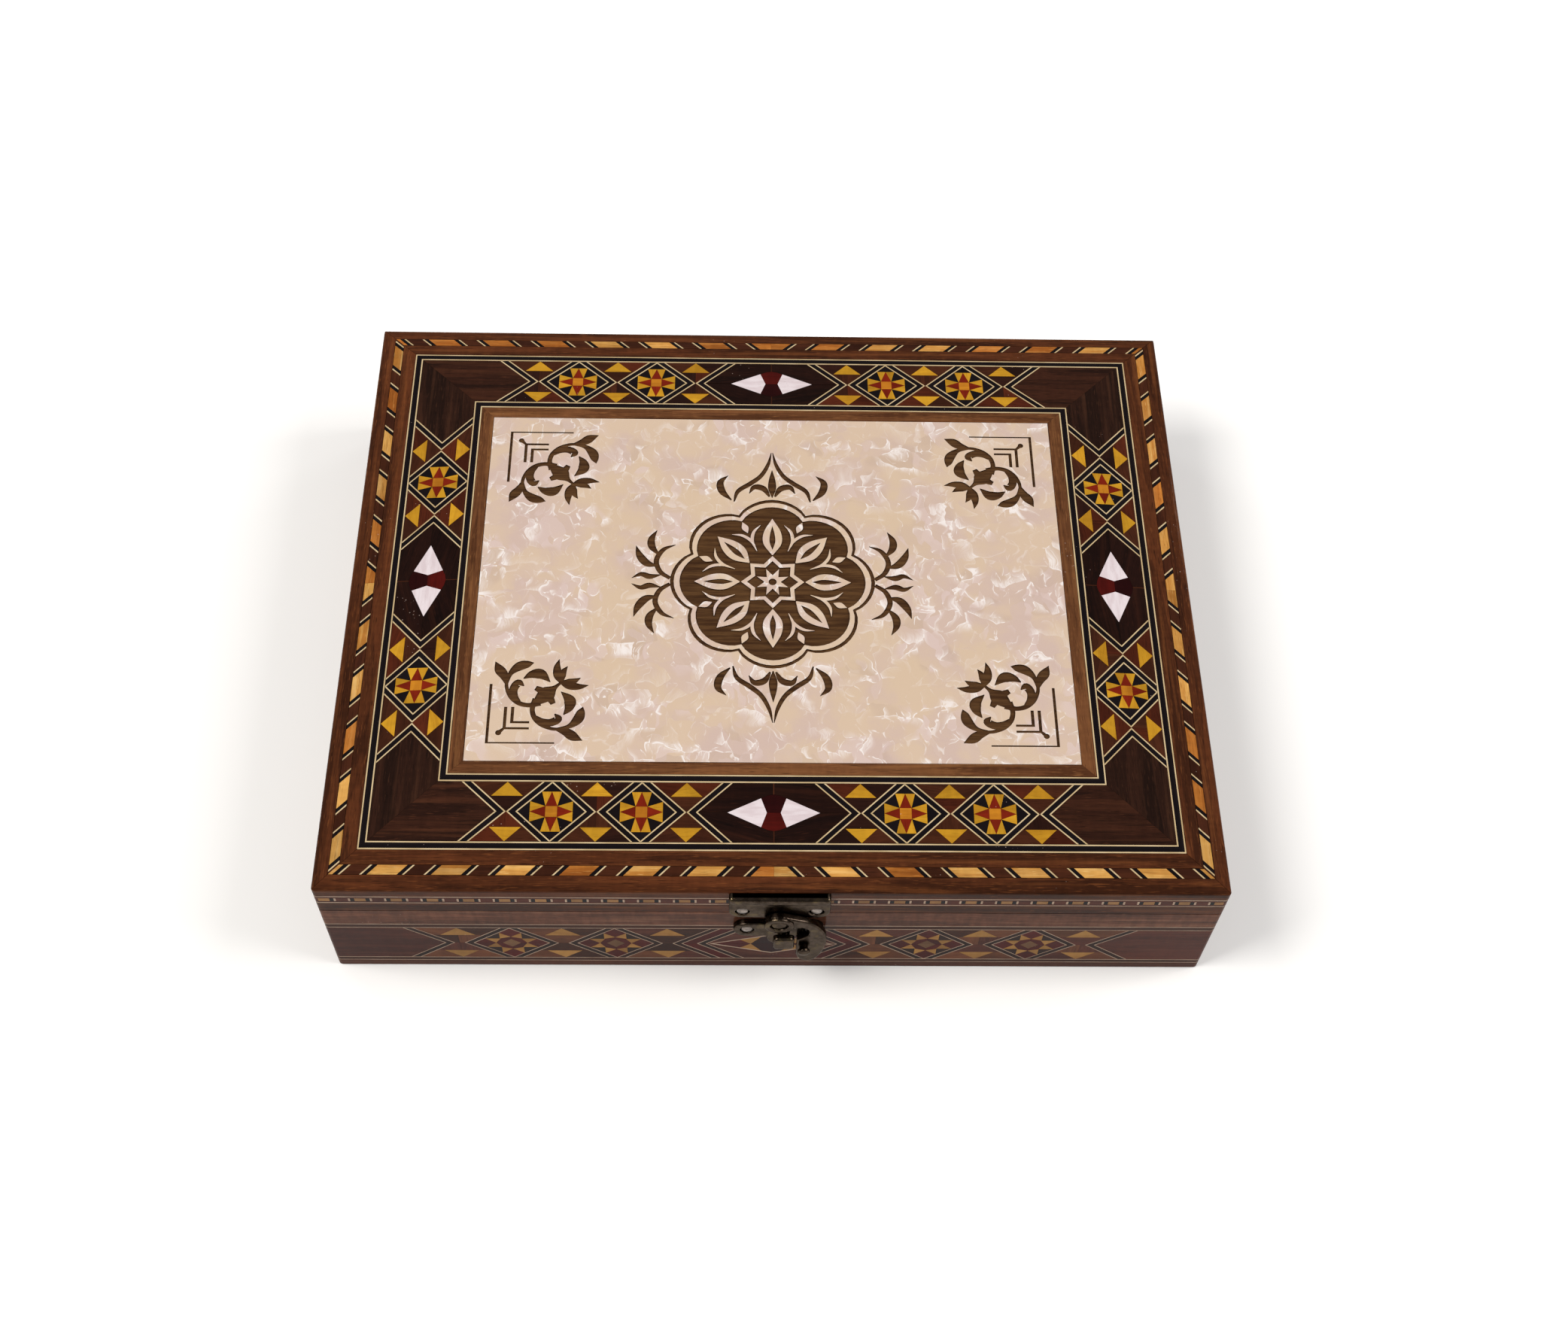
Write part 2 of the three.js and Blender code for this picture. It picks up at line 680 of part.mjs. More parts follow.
// A group whose own X, Y and Z are across, up and proud of the front face.
function addFrontFace(parent) {
  const group = new THREE.Group();
  group.position.set(latchX, -boxDepth / 2, 0);
  group.rotation.x = Math.PI / 2;
  parent.add(group);
  return group;
}
const lidFace = addFrontFace(lid);
const baseFace = addFrontFace(base);
addPiece(lidFace, "latch_plate", latchPlate(), bronze);
addPiece(baseFace, "catch_plate", catchPlate(), bronze);
addPiece(baseFace, "catch_knob", catchKnob(), bronze);
addPiece(lidFace, "latch_hook", latchHook(), bronze).position.y = latchPivotHeight;
addPiece(lidFace, "latch_rivet", hookRivet(), bronze).position.y = latchPivotHeight;
for (const [index, sign] of [-1, 1].entries()) {
  const end = index === 0 ? "left" : "right";
  const upper = addPiece(lidFace, `latch_plate_nail_${end}`, nail(plateNail), steel);
  upper.position.set(sign * upperNail.x, upperNail.height, plateProud);
  const lower = addPiece(baseFace, `catch_plate_nail_${end}`, nail(plateNail), steel);
  lower.position.set(sign * lowerNailX, lowerPlate.height, plateProud);
}

export default box;
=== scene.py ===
"""An inlaid wooden box: marquetry, a pearl sheet with engraved ornament, velvet linings and a bronze latch."""
import math
import random
from collections import namedtuple

import bmesh
import bpy
from mathutils import Matrix, Vector, noise
from mathutils.geometry import delaunay_2d_cdt


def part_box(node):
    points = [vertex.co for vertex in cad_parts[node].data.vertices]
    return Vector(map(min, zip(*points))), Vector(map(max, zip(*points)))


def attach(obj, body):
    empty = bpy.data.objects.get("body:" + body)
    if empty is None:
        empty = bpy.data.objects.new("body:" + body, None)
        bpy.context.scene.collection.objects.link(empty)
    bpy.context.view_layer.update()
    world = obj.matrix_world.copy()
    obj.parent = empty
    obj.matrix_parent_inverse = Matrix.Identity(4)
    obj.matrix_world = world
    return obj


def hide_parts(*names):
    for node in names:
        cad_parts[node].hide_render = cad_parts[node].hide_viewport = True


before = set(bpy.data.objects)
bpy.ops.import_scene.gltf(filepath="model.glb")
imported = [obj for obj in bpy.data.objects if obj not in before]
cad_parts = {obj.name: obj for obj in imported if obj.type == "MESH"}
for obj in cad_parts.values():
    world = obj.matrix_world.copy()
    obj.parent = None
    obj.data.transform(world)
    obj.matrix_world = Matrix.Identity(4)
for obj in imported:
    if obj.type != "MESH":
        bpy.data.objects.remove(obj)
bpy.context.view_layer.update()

MM = 0.001
QUARTERS = [(-1, -1), (-1, 1), (1, -1), (1, 1)]
draw = random.Random(11)

# ---------- what the frame says, in millimetres ----------


def box_mm(node):
    low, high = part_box(node)
    return low / MM, high / MM


HALF_WIDTH, HALF_DEPTH = box_mm("bottom_board")[1].xy
CORNER_RADIUS = 1.2
VENEER = 1.4
EDGE_HEIGHT = 48.5

Side = namedtuple("Side", "name turn half_length half_across")
SIDES = [
    Side("front", 0.0, HALF_WIDTH, HALF_DEPTH),
    Side("right", math.pi / 2, HALF_DEPTH, HALF_WIDTH),
    Side("back", math.pi, HALF_WIDTH, HALF_DEPTH),
    Side("left", -math.pi / 2, HALF_DEPTH, HALF_WIDTH),
]


def insets(node):
    """How far in from the lid's outer edge a front node starts and ends."""
    low, high = box_mm(node)
    return HALF_DEPTH + low.y, HALF_DEPTH + high.y


def heights(node):
    low, high = box_mm(node)
    return low.z, high.z


SLOPE_BAND = insets("lid_marquetry_front")
BASE_BAND = heights("base_marquetry_front")
FRAME_BAND = insets("lid_inner_frame_front")
CLEAR = 0.1
OUTER_STRING = (insets("lid_outer_string")[0], SLOPE_BAND[0] - CLEAR)
INNER_STRING = (SLOPE_BAND[1] + CLEAR, FRAME_BAND[0] - CLEAR)
ROPE_START = insets("lid_rope_inlay")[0]
ROPE_WIDTH = 2.8
TOP_HEIGHT = heights("lid_pearl_sheet")[1]
PEARL_HALF = box_mm("lid_pearl_sheet")[1]
FIRST_RISE = 1.6
CROWN = [
    (0.0, EDGE_HEIGHT),
    (sum(OUTER_STRING) / 2, EDGE_HEIGHT + FIRST_RISE),
    (sum(INNER_STRING) / 2, TOP_HEIGHT),
]


def crown(inset):
    """The lid's height at a distance in from its outer edge."""
    for (start, low), (end, high) in zip(CROWN, CROWN[1:]):
        if inset <= end:
            return low + (high - low) * (inset - start) / (end - start)
    return TOP_HEIGHT


def turned(side, x, y, z):
    cos, sin = math.cos(side.turn), math.sin(side.turn)
    return Vector((cos * x - sin * y, sin * x + cos * y, z))


def lid_surface(side):
    """Maps (along the side, inset, depth) to a point of the lid."""
    return lambda u, v, depth: turned(side, u, v - side.half_across, crown(v) - depth)


def wall_surface(side):
    """Maps (along the side, height, depth) to a point; past the flat part u runs round the corner."""
    flat = side.half_length - CORNER_RADIUS

    def at(u, v, depth):
        over = abs(u) - flat
        if over <= 0:
            return turned(side, u, depth - side.half_across, v)
        radius = CORNER_RADIUS - depth
        angle = over / CORNER_RADIUS
        x = math.copysign(flat + radius * math.sin(angle), u)
        return turned(side, x, CORNER_RADIUS - side.half_across - radius * math.cos(angle), v)

    return at


def shifted(at, by):
    return lambda u, w, depth: at(u, w + by, depth)


# ---------- materials ----------

LIGHT_LEVEL = 1.4


def srgb(red, green, blue):
    """The base colour that looks like this one under the studio lights, which shine brighter than 1."""

    def linear(value):
        value /= 255
        return value / 12.92 if value <= 0.04045 else ((value + 0.055) / 1.055) ** 2.4

    return (linear(red) / LIGHT_LEVEL, linear(green) / LIGHT_LEVEL, linear(blue) / LIGHT_LEVEL, 1.0)


def scaled(colour, factor):
    return tuple(factor * value for value in colour[:3]) + (1.0,)


class Nodes:
    """A material's node tree, with short calls for the nodes used here."""

    def __init__(self, name, **constants):
        self.material = bpy.data.materials.new(name)
        self.material.use_nodes = True
        self.tree = self.material.node_tree
        self.shader = self.tree.nodes["Principled BSDF"]
        for socket, value in constants.items():
            self.shader.inputs[socket.replace("_", " ")].default_value = value

    def node(self, kind, settings=None, **inputs):
        made = self.tree.nodes.new("ShaderNode" + kind)
        for name, value in (settings or {}).items():
            setattr(made, name, value)
        for name, value in inputs.items():
            self.feed(made.inputs[name.replace("_", " ")], value)
        return made

    def feed(self, socket, value):
        if isinstance(value, bpy.types.NodeSocket):
            self.tree.links.new(value, socket)
        else:
            socket.default_value = value

    def fed(self, kind, settings, *values):
        """A node whose inputs are fed in their order."""
        made = self.node(kind, settings)
        for socket, value in zip(made.inputs, values):
            self.feed(socket, value)
        return made.outputs[0]

    def surface(self, **values):
        for socket, value in values.items():
            self.feed(self.shader.inputs[socket.replace("_", " ")], value)
        return self.material

    def math(self, operation, *values):
        return self.fed("Math", {"operation": operation}, *values)

    def times(self, first, second):
        return self.math("MULTIPLY", first, second)

    def larger(self, first, second):
        return self.math("MAXIMUM", first, second)

    def remap(self, value, start, end, low=0.0, high=1.0):
        return self.fed("MapRange", {"interpolation_type": "SMOOTHSTEP"}, value, start, end, low, high)

    def mix(self, factor, first, second, blend="MIX"):
        made = self.node("Mix", {"data_type": "RGBA", "blend_type": blend})
        for index, value in ((0, factor), (6, first), (7, second)):
            self.feed(made.inputs[index], value)
        return made.outputs[2]

    def noise(self, vector, scale, detail=2.0, roughness=0.5, distortion=0.0):
        values = dict(Scale=scale, Detail=detail, Roughness=roughness, Distortion=distortion)
        return self.node("TexNoise", Vector=vector, **values).outputs[0]

    def fibres(self, vector, scale, *settings):
        """Noise drawn out by a scale for each direction."""
        return self.noise(self.stretch(vector, scale), 1.0, *settings)

    def voronoi(self, vector, scale, feature="F1"):
        return self.node("TexVoronoi", {"feature": feature}, Vector=vector, Scale=scale).outputs

    def stretch(self, vector, scale, turn=0.0, shift=(0.0, 0.0, 0.0)):
        values = dict(Scale=scale, Rotation=(0.0, 0.0, turn), Location=shift)
        return self.node("Mapping", Vector=vector, **values).outputs[0]

    def attribute(self, name, output):
        return self.node("Attribute", {"attribute_name": name}).outputs[output]

    def object_mm(self):
        """Position in millimetres, which stays with the piece when it moves."""
        return self.stretch(self.node("TexCoord").outputs["Object"], (1 / MM, 1 / MM, 1 / MM))

    def bump(self, height, distance_mm, strength=1.0):
        return self.node("Bump", Strength=strength, Distance=distance_mm * MM, Height=height).outputs[0]


LACQUER = dict(Coat_Weight=0.3, Coat_Roughness=0.08, Coat_IOR=1.4, Specular_IOR_Level=0.0)


def lacquered(nodes, position, body):
    """The varnish's own skin: long low ripples, and specks gathered in some places: raised dust in the coat,
    with a pale painted glint in the base colour.
    """
    ripple = nodes.noise(position, 0.22)
    dust_and_glint_reach = nodes.remap(nodes.noise(position, 0.025), 0.58, 0.7, 0.0, 0.16)
    speck = nodes.remap(nodes.voronoi(position, 0.7)["Distance"], 0.0, dust_and_glint_reach, 1.0, 0.0)
    # The specks' pale base colour is a painted glint; their bump below is real dust in the coat.
    nodes.surface(Base_Color=nodes.mix(nodes.times(speck, 0.7), body, srgb(214, 190, 176)))
    skin = nodes.bump(ripple, 0.05)
    speckled = nodes.bump(speck, 0.14)
    nodes.feed(speckled.node.inputs["Normal"], skin)
    return nodes.surface(Coat_Normal=speckled)


def wood(name, colour, dark, light=None, figure=0.5, pores=0.5, turn=None, shift=0.0, curl=0.06):
    """Lacquered veneer. Grain runs along the piece's own grain coordinates, or along X turned by an angle."""
    nodes = Nodes(name, **LACQUER)
    colour, dark = srgb(*colour), srgb(*dark)
    if turn is None:
        position = nodes.attribute("grain", "Vector")
        tone = nodes.attribute("tone", "Fac")
    else:
        position = nodes.stretch(nodes.object_mm(), (1.0, 1.0, 1.0), turn, (shift, 3 * shift, 0.0))
        tone = nodes.remap(nodes.noise(position, 0.004), 0.3, 0.7, -0.25, 0.25)
    broad = nodes.fibres(position, (0.012, 0.16, 0.16), 4.0, 0.55, 0.35)
    ring = nodes.math("SINE", nodes.times(broad, 9 * math.tau))
    fibre = nodes.fibres(position, (0.05, 2.6, 2.6), 3.0, 0.65)
    pore = nodes.remap(nodes.fibres(position, (0.22, 5.0, 5.0), 1.0), 0.62, 0.72)
    band = nodes.math("MULTIPLY_ADD", ring, 0.16, nodes.remap(broad, 0.3, 0.7))
    streak = nodes.remap(nodes.math("MULTIPLY_ADD", fibre, 0.7, band), 0.35, 1.35)
    body = nodes.mix(nodes.times(streak, figure), colour, dark)
    if light is not None:
        pale = nodes.remap(nodes.fibres(position, (0.02, 0.5, 0.5), 3.0), 0.5, 0.72)
        fleck = nodes.remap(nodes.fibres(position, (0.25, 2.8, 2.8)), 0.58, 0.72)
        body = nodes.mix(nodes.times(nodes.larger(pale, fleck), 0.6), body, srgb(*light))
    body = nodes.mix(nodes.times(pore, pores), body, scaled(dark, 0.35))
    across = nodes.fibres(position, (0.55, 0.14, 0.14), 3.0)
    shade = nodes.math("MULTIPLY_ADD", tone, 0.45, nodes.remap(across, 0.3, 0.7, 1.0 - curl, 1.0 + curl))
    shade_colour = nodes.node("CombineColor", Red=shade, Green=shade, Blue=shade).outputs[0]
    body = nodes.mix(1.0, body, shade_colour, "MULTIPLY")
    nodes.surface(Roughness=nodes.remap(fibre, 0.2, 0.8, 0.4, 0.56))
    relief = nodes.math("MULTIPLY_ADD", pore, -1.0, nodes.times(fibre, 0.3))
    nodes.surface(Normal=nodes.bump(relief, 0.03, 0.6))
    return lacquered(nodes, position, body)


def flake_layer(nodes, vector, scale, turn):
    """Crumpled flakes: a random tone, a soft painted gleam rising to one side, and a painted highlight along a
    fold on that side.
    """
    placed = nodes.stretch(vector, scale, turn)
    cell = nodes.voronoi(placed, 1.0)
    edge = nodes.voronoi(placed, 1.0, "DISTANCE_TO_EDGE")["Distance"]
    offset = nodes.fed("VectorMath", {"operation": "SUBTRACT"}, placed, cell["Position"])
    local = nodes.node("SeparateXYZ", Vector=offset).outputs
    chance = nodes.node("SeparateColor", Color=cell["Color"]).outputs
    angle = nodes.times(chance[0], math.tau)
    across = nodes.times(local[0], nodes.math("COSINE", angle))
    across = nodes.math("MULTIPLY_ADD", local[1], nodes.math("SINE", angle), across)
    gleam = nodes.times(nodes.remap(across, 0.0, 0.6), nodes.remap(chance[2], 0.4, 0.95))
    side = nodes.times(nodes.remap(across, 0.1, 0.3), nodes.remap(chance[2], 0.25, 0.5))
    return chance[1], gleam, nodes.times(nodes.remap(edge, 0.02, 0.065, 1.0, 0.0), side), across


def pearl_material():
    """Pearlescent sheet: clusters of crumpled flakes on a calm ground, with painted gleams, highlights and
    shade in the base colour, and a bumped surface so that each flake also catches the light differently.
    """
    nodes = Nodes("pearl", Coat_Weight=0.6, Coat_Roughness=0.06, Specular_IOR_Level=0.3)
    position = nodes.object_mm()
    warp = nodes.node("TexNoise", Vector=position, Scale=0.13, Detail=1.5).outputs["Color"]
    bent = nodes.fed("VectorMath", {"operation": "MULTIPLY_ADD"}, warp, (9.0, 9.0, 0.0), position)
    tone, gleam, fold_highlight, across = flake_layer(nodes, bent, (0.12, 0.168, 0.0), 0.5)
    small_tone, small_gleam, small_fold_highlight, small_across = flake_layer(nodes, bent, (0.364, 0.208, 0.0), -0.6)
    place = nodes.node("SeparateXYZ", Vector=position).outputs
    far = [nodes.math("ABSOLUTE", nodes.math("DIVIDE", place[k], PEARL_HALF[k])) for k in (0, 1)]
    far = nodes.remap(nodes.larger(*far), 0.35, 1.0)
    cream = nodes.mix(far, srgb(225, 199, 171), srgb(226, 200, 175))
    lilac = nodes.mix(far, srgb(220, 194, 179), srgb(218, 192, 180))
    patch = nodes.noise(position, 0.07, 4.0)
    cluster = nodes.remap(nodes.noise(position, 0.075), 0.45, 0.56)
    body = nodes.mix(nodes.remap(nodes.math("MULTIPLY_ADD", tone, 0.14, patch), 0.46, 0.74), cream, lilac)
    # Pale pink shards are painted highlights on some small flakes.
    shard_highlight = nodes.times(nodes.remap(small_tone, 0.5, 0.9, 0.0, 0.55), cluster)
    body = nodes.mix(shard_highlight, body, srgb(232, 210, 206))
    # Darker flakes in the clusters are painted shade in the sheet's hollows.
    hollow_shade = nodes.times(nodes.remap(tone, 0.0, 0.4, 0.45, 0.0), cluster)
    body = nodes.mix(hollow_shade, body, srgb(200, 174, 158))
    fibre = nodes.noise(nodes.stretch(bent, (0.9, 0.2, 0.0), 0.9), 1.4, 3.0, 0.6, 1.2)
    broken = nodes.remap(nodes.noise(position, 0.5, 1.0), 0.4, 0.48)
    soft = nodes.larger(gleam, nodes.times(small_gleam, 0.8))
    soft = nodes.times(soft, nodes.remap(fibre, 0.35, 0.6, 0.35, 1.0))
    soft = nodes.times(soft, nodes.remap(cluster, 0.0, 1.0, 0.25, 1.0))
    crisp = nodes.times(nodes.larger(fold_highlight, small_fold_highlight), broken)
    crisp = nodes.times(crisp, nodes.remap(cluster, 0.0, 1.0, 0.3, 1.0))
    glint = nodes.larger(soft, crisp)
    # Painted gleams and fold highlights lighten the base colour towards white.
    nodes.surface(Base_Color=nodes.mix(glint, body, srgb(255, 246, 242)))
    nodes.surface(Roughness=nodes.remap(glint, 0.0, 1.0, 0.4, 0.24))
    nodes.surface(Normal=nodes.bump(nodes.math("MULTIPLY_ADD", small_across, 0.5, across), 0.12, 0.3))
    return nodes.surface(Coat_Normal=nodes.bump(nodes.noise(position, 0.3), 0.02))


def engraved_material():
    """The laser-cut floor of the ornament: scorched wood with fine raster lines."""
    nodes = Nodes("engraved_wood", **LACQUER)
    position = nodes.object_mm()
    grain = nodes.fibres(position, (0.06, 0.9, 0.9), 4.0, 0.6)
    raster = nodes.fibres(position, (0.5, 7.0, 1.0), 1.0)
    body = nodes.mix(nodes.remap(grain, 0.3, 0.7), srgb(100, 70, 42), srgb(64, 40, 23))
    return nodes.surface(
        Base_Color=nodes.mix(nodes.remap(raster, 0.55, 0.75, 0.0, 0.5), body, srgb(48, 32, 22)),
        Roughness=nodes.remap(raster, 0.3, 0.7, 0.45, 0.7),
        Normal=nodes.bump(nodes.math("ADD", raster, grain), 0.05, 0.7),
    )


def scorched_material():
    nodes = Nodes("scorched_edge", **LACQUER)
    burn = nodes.noise(nodes.object_mm(), 1.4, 3.0)
    return nodes.surface(
        Base_Color=nodes.mix(burn, srgb(38, 22, 16), srgb(70, 44, 28)),
        Roughness=nodes.remap(burn, 0.3, 0.7, 0.4, 0.6),
        Normal=nodes.bump(burn, 0.04, 0.6),
    )


def bone_material(name, colour, shade):
    """Bone or white plastic inlay with faint clouding along the strip."""
    nodes = Nodes(name, **LACQUER)
    position = nodes.attribute("grain", "Vector")
    cloud = nodes.fibres(position, (0.15, 0.8, 0.8), 4.0)
    speck = nodes.remap(nodes.noise(position, 2.2), 0.62, 0.74, 0.0, 0.25)
    body = nodes.mix(nodes.remap(cloud, 0.35, 0.65), srgb(*colour), srgb(*shade))
    body = nodes.mix(speck, body, scaled(srgb(*shade), 0.6))
    nodes.surface(Roughness=nodes.remap(cloud, 0.3, 0.7, 0.3, 0.42))
    nodes.surface(Normal=nodes.bump(cloud, 0.01, 0.5))
    return lacquered(nodes, position, body)


def metal(name, colour, dark, bright, roughness, sheen=(1.0, 1.0, 1.0), wear=0.6):
    """Aged cast metal: mottled, darker in some patches and rubbed bright in others."""
    nodes = Nodes(name, Metallic=1.0, Specular_Tint=sheen + (1.0,))
    position = nodes.object_mm()
    cloud = nodes.noise(position, 0.7, 5.0, 0.6)
    grit = nodes.noise(position, 5.0, 3.0, 0.6)
    body = nodes.mix(nodes.remap(cloud, 0.35, 0.65), srgb(*colour), srgb(*dark))
    rubbed = nodes.remap(nodes.noise(position, 0.35, 3.0, 0.6), 0.52, 0.7, 0.0, wear)
    body = nodes.mix(rubbed, body, srgb(*bright))
    return nodes.surface(
        Base_Color=nodes.mix(nodes.remap(grit, 0.55, 0.75, 0.0, 0.5), body, srgb(*dark)),
        Roughness=nodes.math("MULTIPLY_ADD", cloud, 0.24, roughness - 0.12),
        Normal=nodes.bump(nodes.math("ADD", grit, cloud), 0.06, 0.5),
    )


def velvet_material():
    nodes = Nodes("velvet", Sheen_Weight=0.8, Sheen_Roughness=0.35, Sheen_Tint=srgb(214, 92, 96))
    position = nodes.object_mm()
    nap = nodes.noise(position, 0.06, 4.0, 0.6, 0.6)
    pile = nodes.noise(position, 9.0)
    body = nodes.mix(nodes.remap(nap, 0.35, 0.65), srgb(92, 12, 22), srgb(124, 20, 32))
    return nodes.surface(
        Base_Color=nodes.mix(nodes.remap(pile, 0.4, 0.7), body, srgb(58, 6, 14)),
        Roughness=nodes.remap(pile, 0.3, 0.7, 0.85, 0.98),
        Normal=nodes.bump(nodes.math("ADD", pile, nap), 0.12, 0.8),
    )


def floor_material():
    nodes = Nodes("pale_floor")
    cloud = nodes.noise(nodes.object_mm(), 0.004, 3.0)
    return nodes.surface(
        Base_Color=nodes.mix(cloud, (0.94, 0.94, 0.93, 1.0), (0.9, 0.9, 0.9, 1.0)),
        Roughness=nodes.remap(cloud, 0.3, 0.7, 0.7, 0.8),
    )


# Each veneer's colour, darker grain and paler flecks, then how strong its figure and how dark its pores are.
WOODS = {
    "frame": ((120, 76, 46), (74, 42, 24), (146, 98, 58), 0.85, 0.6),
    "plain": ((66, 36, 24), (30, 16, 12), (86, 50, 32), 0.8, 0.7),
    "bark": ((52, 29, 20), (26, 14, 10), (72, 44, 30), 0.8, 0.7),
    "umber": ((74, 38, 22), (42, 20, 13), None, 0.6),
    "chestnut": ((116, 68, 42), (80, 44, 28), None, 0.6),
    "plum": ((92, 46, 34), (62, 30, 24), (108, 60, 44), 0.7),
    "russet": ((86, 37, 20), (50, 20, 12), None, 0.6),
    "smoke": ((48, 24, 17), (26, 13, 10), None, 0.6),
    "ebony": ((36, 17, 12), (17, 8, 7), (56, 28, 18), 0.7),
    "black": ((24, 18, 20), (20, 14, 18), None, 0.5, 0.3),
    "mustard": ((206, 152, 40), (172, 118, 28), None, 0.6, 0.25),
    "orange": ((204, 132, 36), (168, 98, 26), None, 0.6, 0.25),
    "ochre": ((178, 130, 68), (146, 100, 50), None, 0.6, 0.25),
    "brick": ((134, 36, 16), (88, 22, 11), None, 0.5, 0.3),
    "crimson": ((84, 18, 13), (52, 10, 8), None, 0.5, 0.3),
    "garnet": ((44, 8, 8), (24, 4, 5), None, 0.5, 0.3),
    "blond": ((214, 160, 84), (176, 112, 46), (232, 190, 122), 0.9),
    "amber": ((190, 118, 50), (150, 84, 32), (206, 142, 74), 0.9),
    "tan": ((126, 90, 60), (88, 58, 38)),
    "sand": ((166, 122, 76), (130, 90, 54)),
}
MATERIALS = {look: wood(look + "_veneer", *description) for look, description in WOODS.items()}
MATERIALS |= {
    "glue": wood("joint_filler", (36, 20, 14), (18, 10, 8)),
    "ivory": bone_material("ivory_line", (208, 180, 156), (184, 154, 132)),
    "bone": bone_material("bone_line", (224, 200, 158), (202, 176, 132)),
    "shell": bone_material("shell_white", (240, 228, 232), (226, 210, 214)),
    "pearl": pearl_material(),
    "engraved": engraved_material(),
    "scorched": scorched_material(),
    "bronze": metal("aged_bronze", (86, 74, 64), (56, 46, 38), (124, 108, 80), 0.17, (0.66, 0.64, 0.62)),
    "brass": metal("aged_brass", (164, 130, 66), (96, 74, 38), (214, 184, 112), 0.34),
    "nickel": metal("nickel_nail", (166, 154, 146), (108, 100, 94), (206, 198, 190), 0.3),
    "velvet": velvet_material(),
    "floor": floor_material(),
}

# ---------- building pieces ----------

SEAM = 0.02
FINE_SEAM = 0.01
TILE_DEPTH = 0.4
SMALLEST = 0.02
GRAIN_SPREAD = 900
QUARTER_TURN = 1.57
WEDGE_TURN = 0.8
GROUND_TOP = 0.1
SHEET_GROUND = dict(top=GROUND_TOP, bottom=VENEER - 0.05)
WALL_GROUND = dict(top=GROUND_TOP, bottom=1.1, gap=0.0)
INLAY_GROUND = dict(top=GROUND_TOP, bottom=0.95)


def about(spread):
    """A random value on either side of zero."""
    return draw.uniform(-spread, spread)


class Piece:
    """Gathers closed solids into one mesh, in millimetres, with each point's grain coordinates and tone."""

    def __init__(self, name):
        self.name = name
        self.points, self.grain, self.tones = [], [], []
        self.faces, self.looks = [], []

    def add(self, points, faces, look, grain=None, tone=0.0):
        start = len(self.points)
        self.points += points
        self.grain += grain or points
        self.tones += [tone] * len(points)
        self.faces += [[start + index for index in face] for face in faces]
        self.looks += [look] * len(faces)

    def make(self, body, replaced, smooth_angle=None):
        mesh = bpy.data.meshes.new(self.name)
        mesh.from_pydata([tuple(point * MM) for point in self.points], [], self.faces)
        names = sorted(set(self.looks))
        for name in names:
            mesh.materials.append(MATERIALS[name])
        mesh.polygons.foreach_set("material_index", [names.index(look) for look in self.looks])
        grain = mesh.attributes.new("grain", "FLOAT_VECTOR", "POINT")
        grain.data.foreach_set("vector", [value for point in self.grain for value in point])
        mesh.attributes.new("tone", "FLOAT", "POINT").data.foreach_set("value", self.tones)
        mesh.update()
        if smooth_angle is not None:
            mesh.shade_smooth()
            mesh.set_sharp_from_angle(angle=math.radians(smooth_angle))
        made = bpy.data.objects.new(self.name, mesh)
        bpy.context.scene.collection.objects.link(made)
        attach(made, body)
        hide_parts(replaced)
        return made


def tidied(outline):
    """The outline without points that fall on the one before."""
    kept = []
    for point in outline:
        point = Vector(point)
        if not kept or (point - kept[-1]).length > SMALLEST:
            kept.append(point)
    if len(kept) > 1 and (kept[0] - kept[-1]).length <= SMALLEST:
        kept.pop()
    return kept


def area(outline):
    return sum(a.x * b.y - a.y * b.x for a, b in zip(outline, outline[1:] + outline[:1])) / 2


def shrunk(outline, gap):
    """The outline with every edge moved to its left, which is inwards when it runs anticlockwise."""
    result = []
    for index, here in enumerate(outline):
        before = (here - outline[index - 1]).normalized()
        after = (outline[(index + 1) % len(outline)] - here).normalized()
        first, second = Vector((-before.y, before.x)), Vector((-after.y, after.x))
        result.append(here + (first + second) * (gap / max(1 + first.dot(second), 0.05)))
    return result


def prism_faces(count):
    sides = [[i, i + count, (i + 1) % count + count, (i + 1) % count] for i in range(count)]
    return [list(range(count)), list(range(2 * count - 1, count - 1, -1))] + sides


def tile(piece, at, outline, look, angle=0.0, tone=None, top=0.0, bottom=TILE_DEPTH, gap=SEAM, shift=None):
    """A closed prism of veneer whose outline is given on a surface."""
    outline = tidied(outline)
    if len(outline) < 3 or abs(area(outline)) < SMALLEST:
        return
    if area(outline) < 0:
        outline.reverse()
    outline = shrunk(outline, gap)
    cos, sin = math.cos(angle), math.sin(angle)
    if shift is None:
        shift = Vector([draw.uniform(0, GRAIN_SPREAD) for _ in range(3)])
    if tone is None:
        tone = about(0.35)
    points, grain = [], []
    for level in (top, bottom):
        for p in outline:
            points.append(at(p.x, p.y, level))
            grain.append(Vector((cos * p.x + sin * p.y, cos * p.y - sin * p.x, level)) + shift)
    piece.add(points, prism_faces(len(outline)), look, grain, tone)


def tile_layer(piece, at):
    """A call that lays a tile: its outline is mirrored by hand and sign, then moved along the surface."""

    def lay(look, outline, angle=0.0, hand=1, sign=1, by=0.0, **options):
        tile(piece, at, [(hand * u + by, sign * w) for u, w in outline], look, angle, **options)

    return lay


CORNER_ARC = CORNER_RADIUS * math.pi / 4
ARC_STEPS = 4


NO_SHIFT = Vector((0, 0, 0))


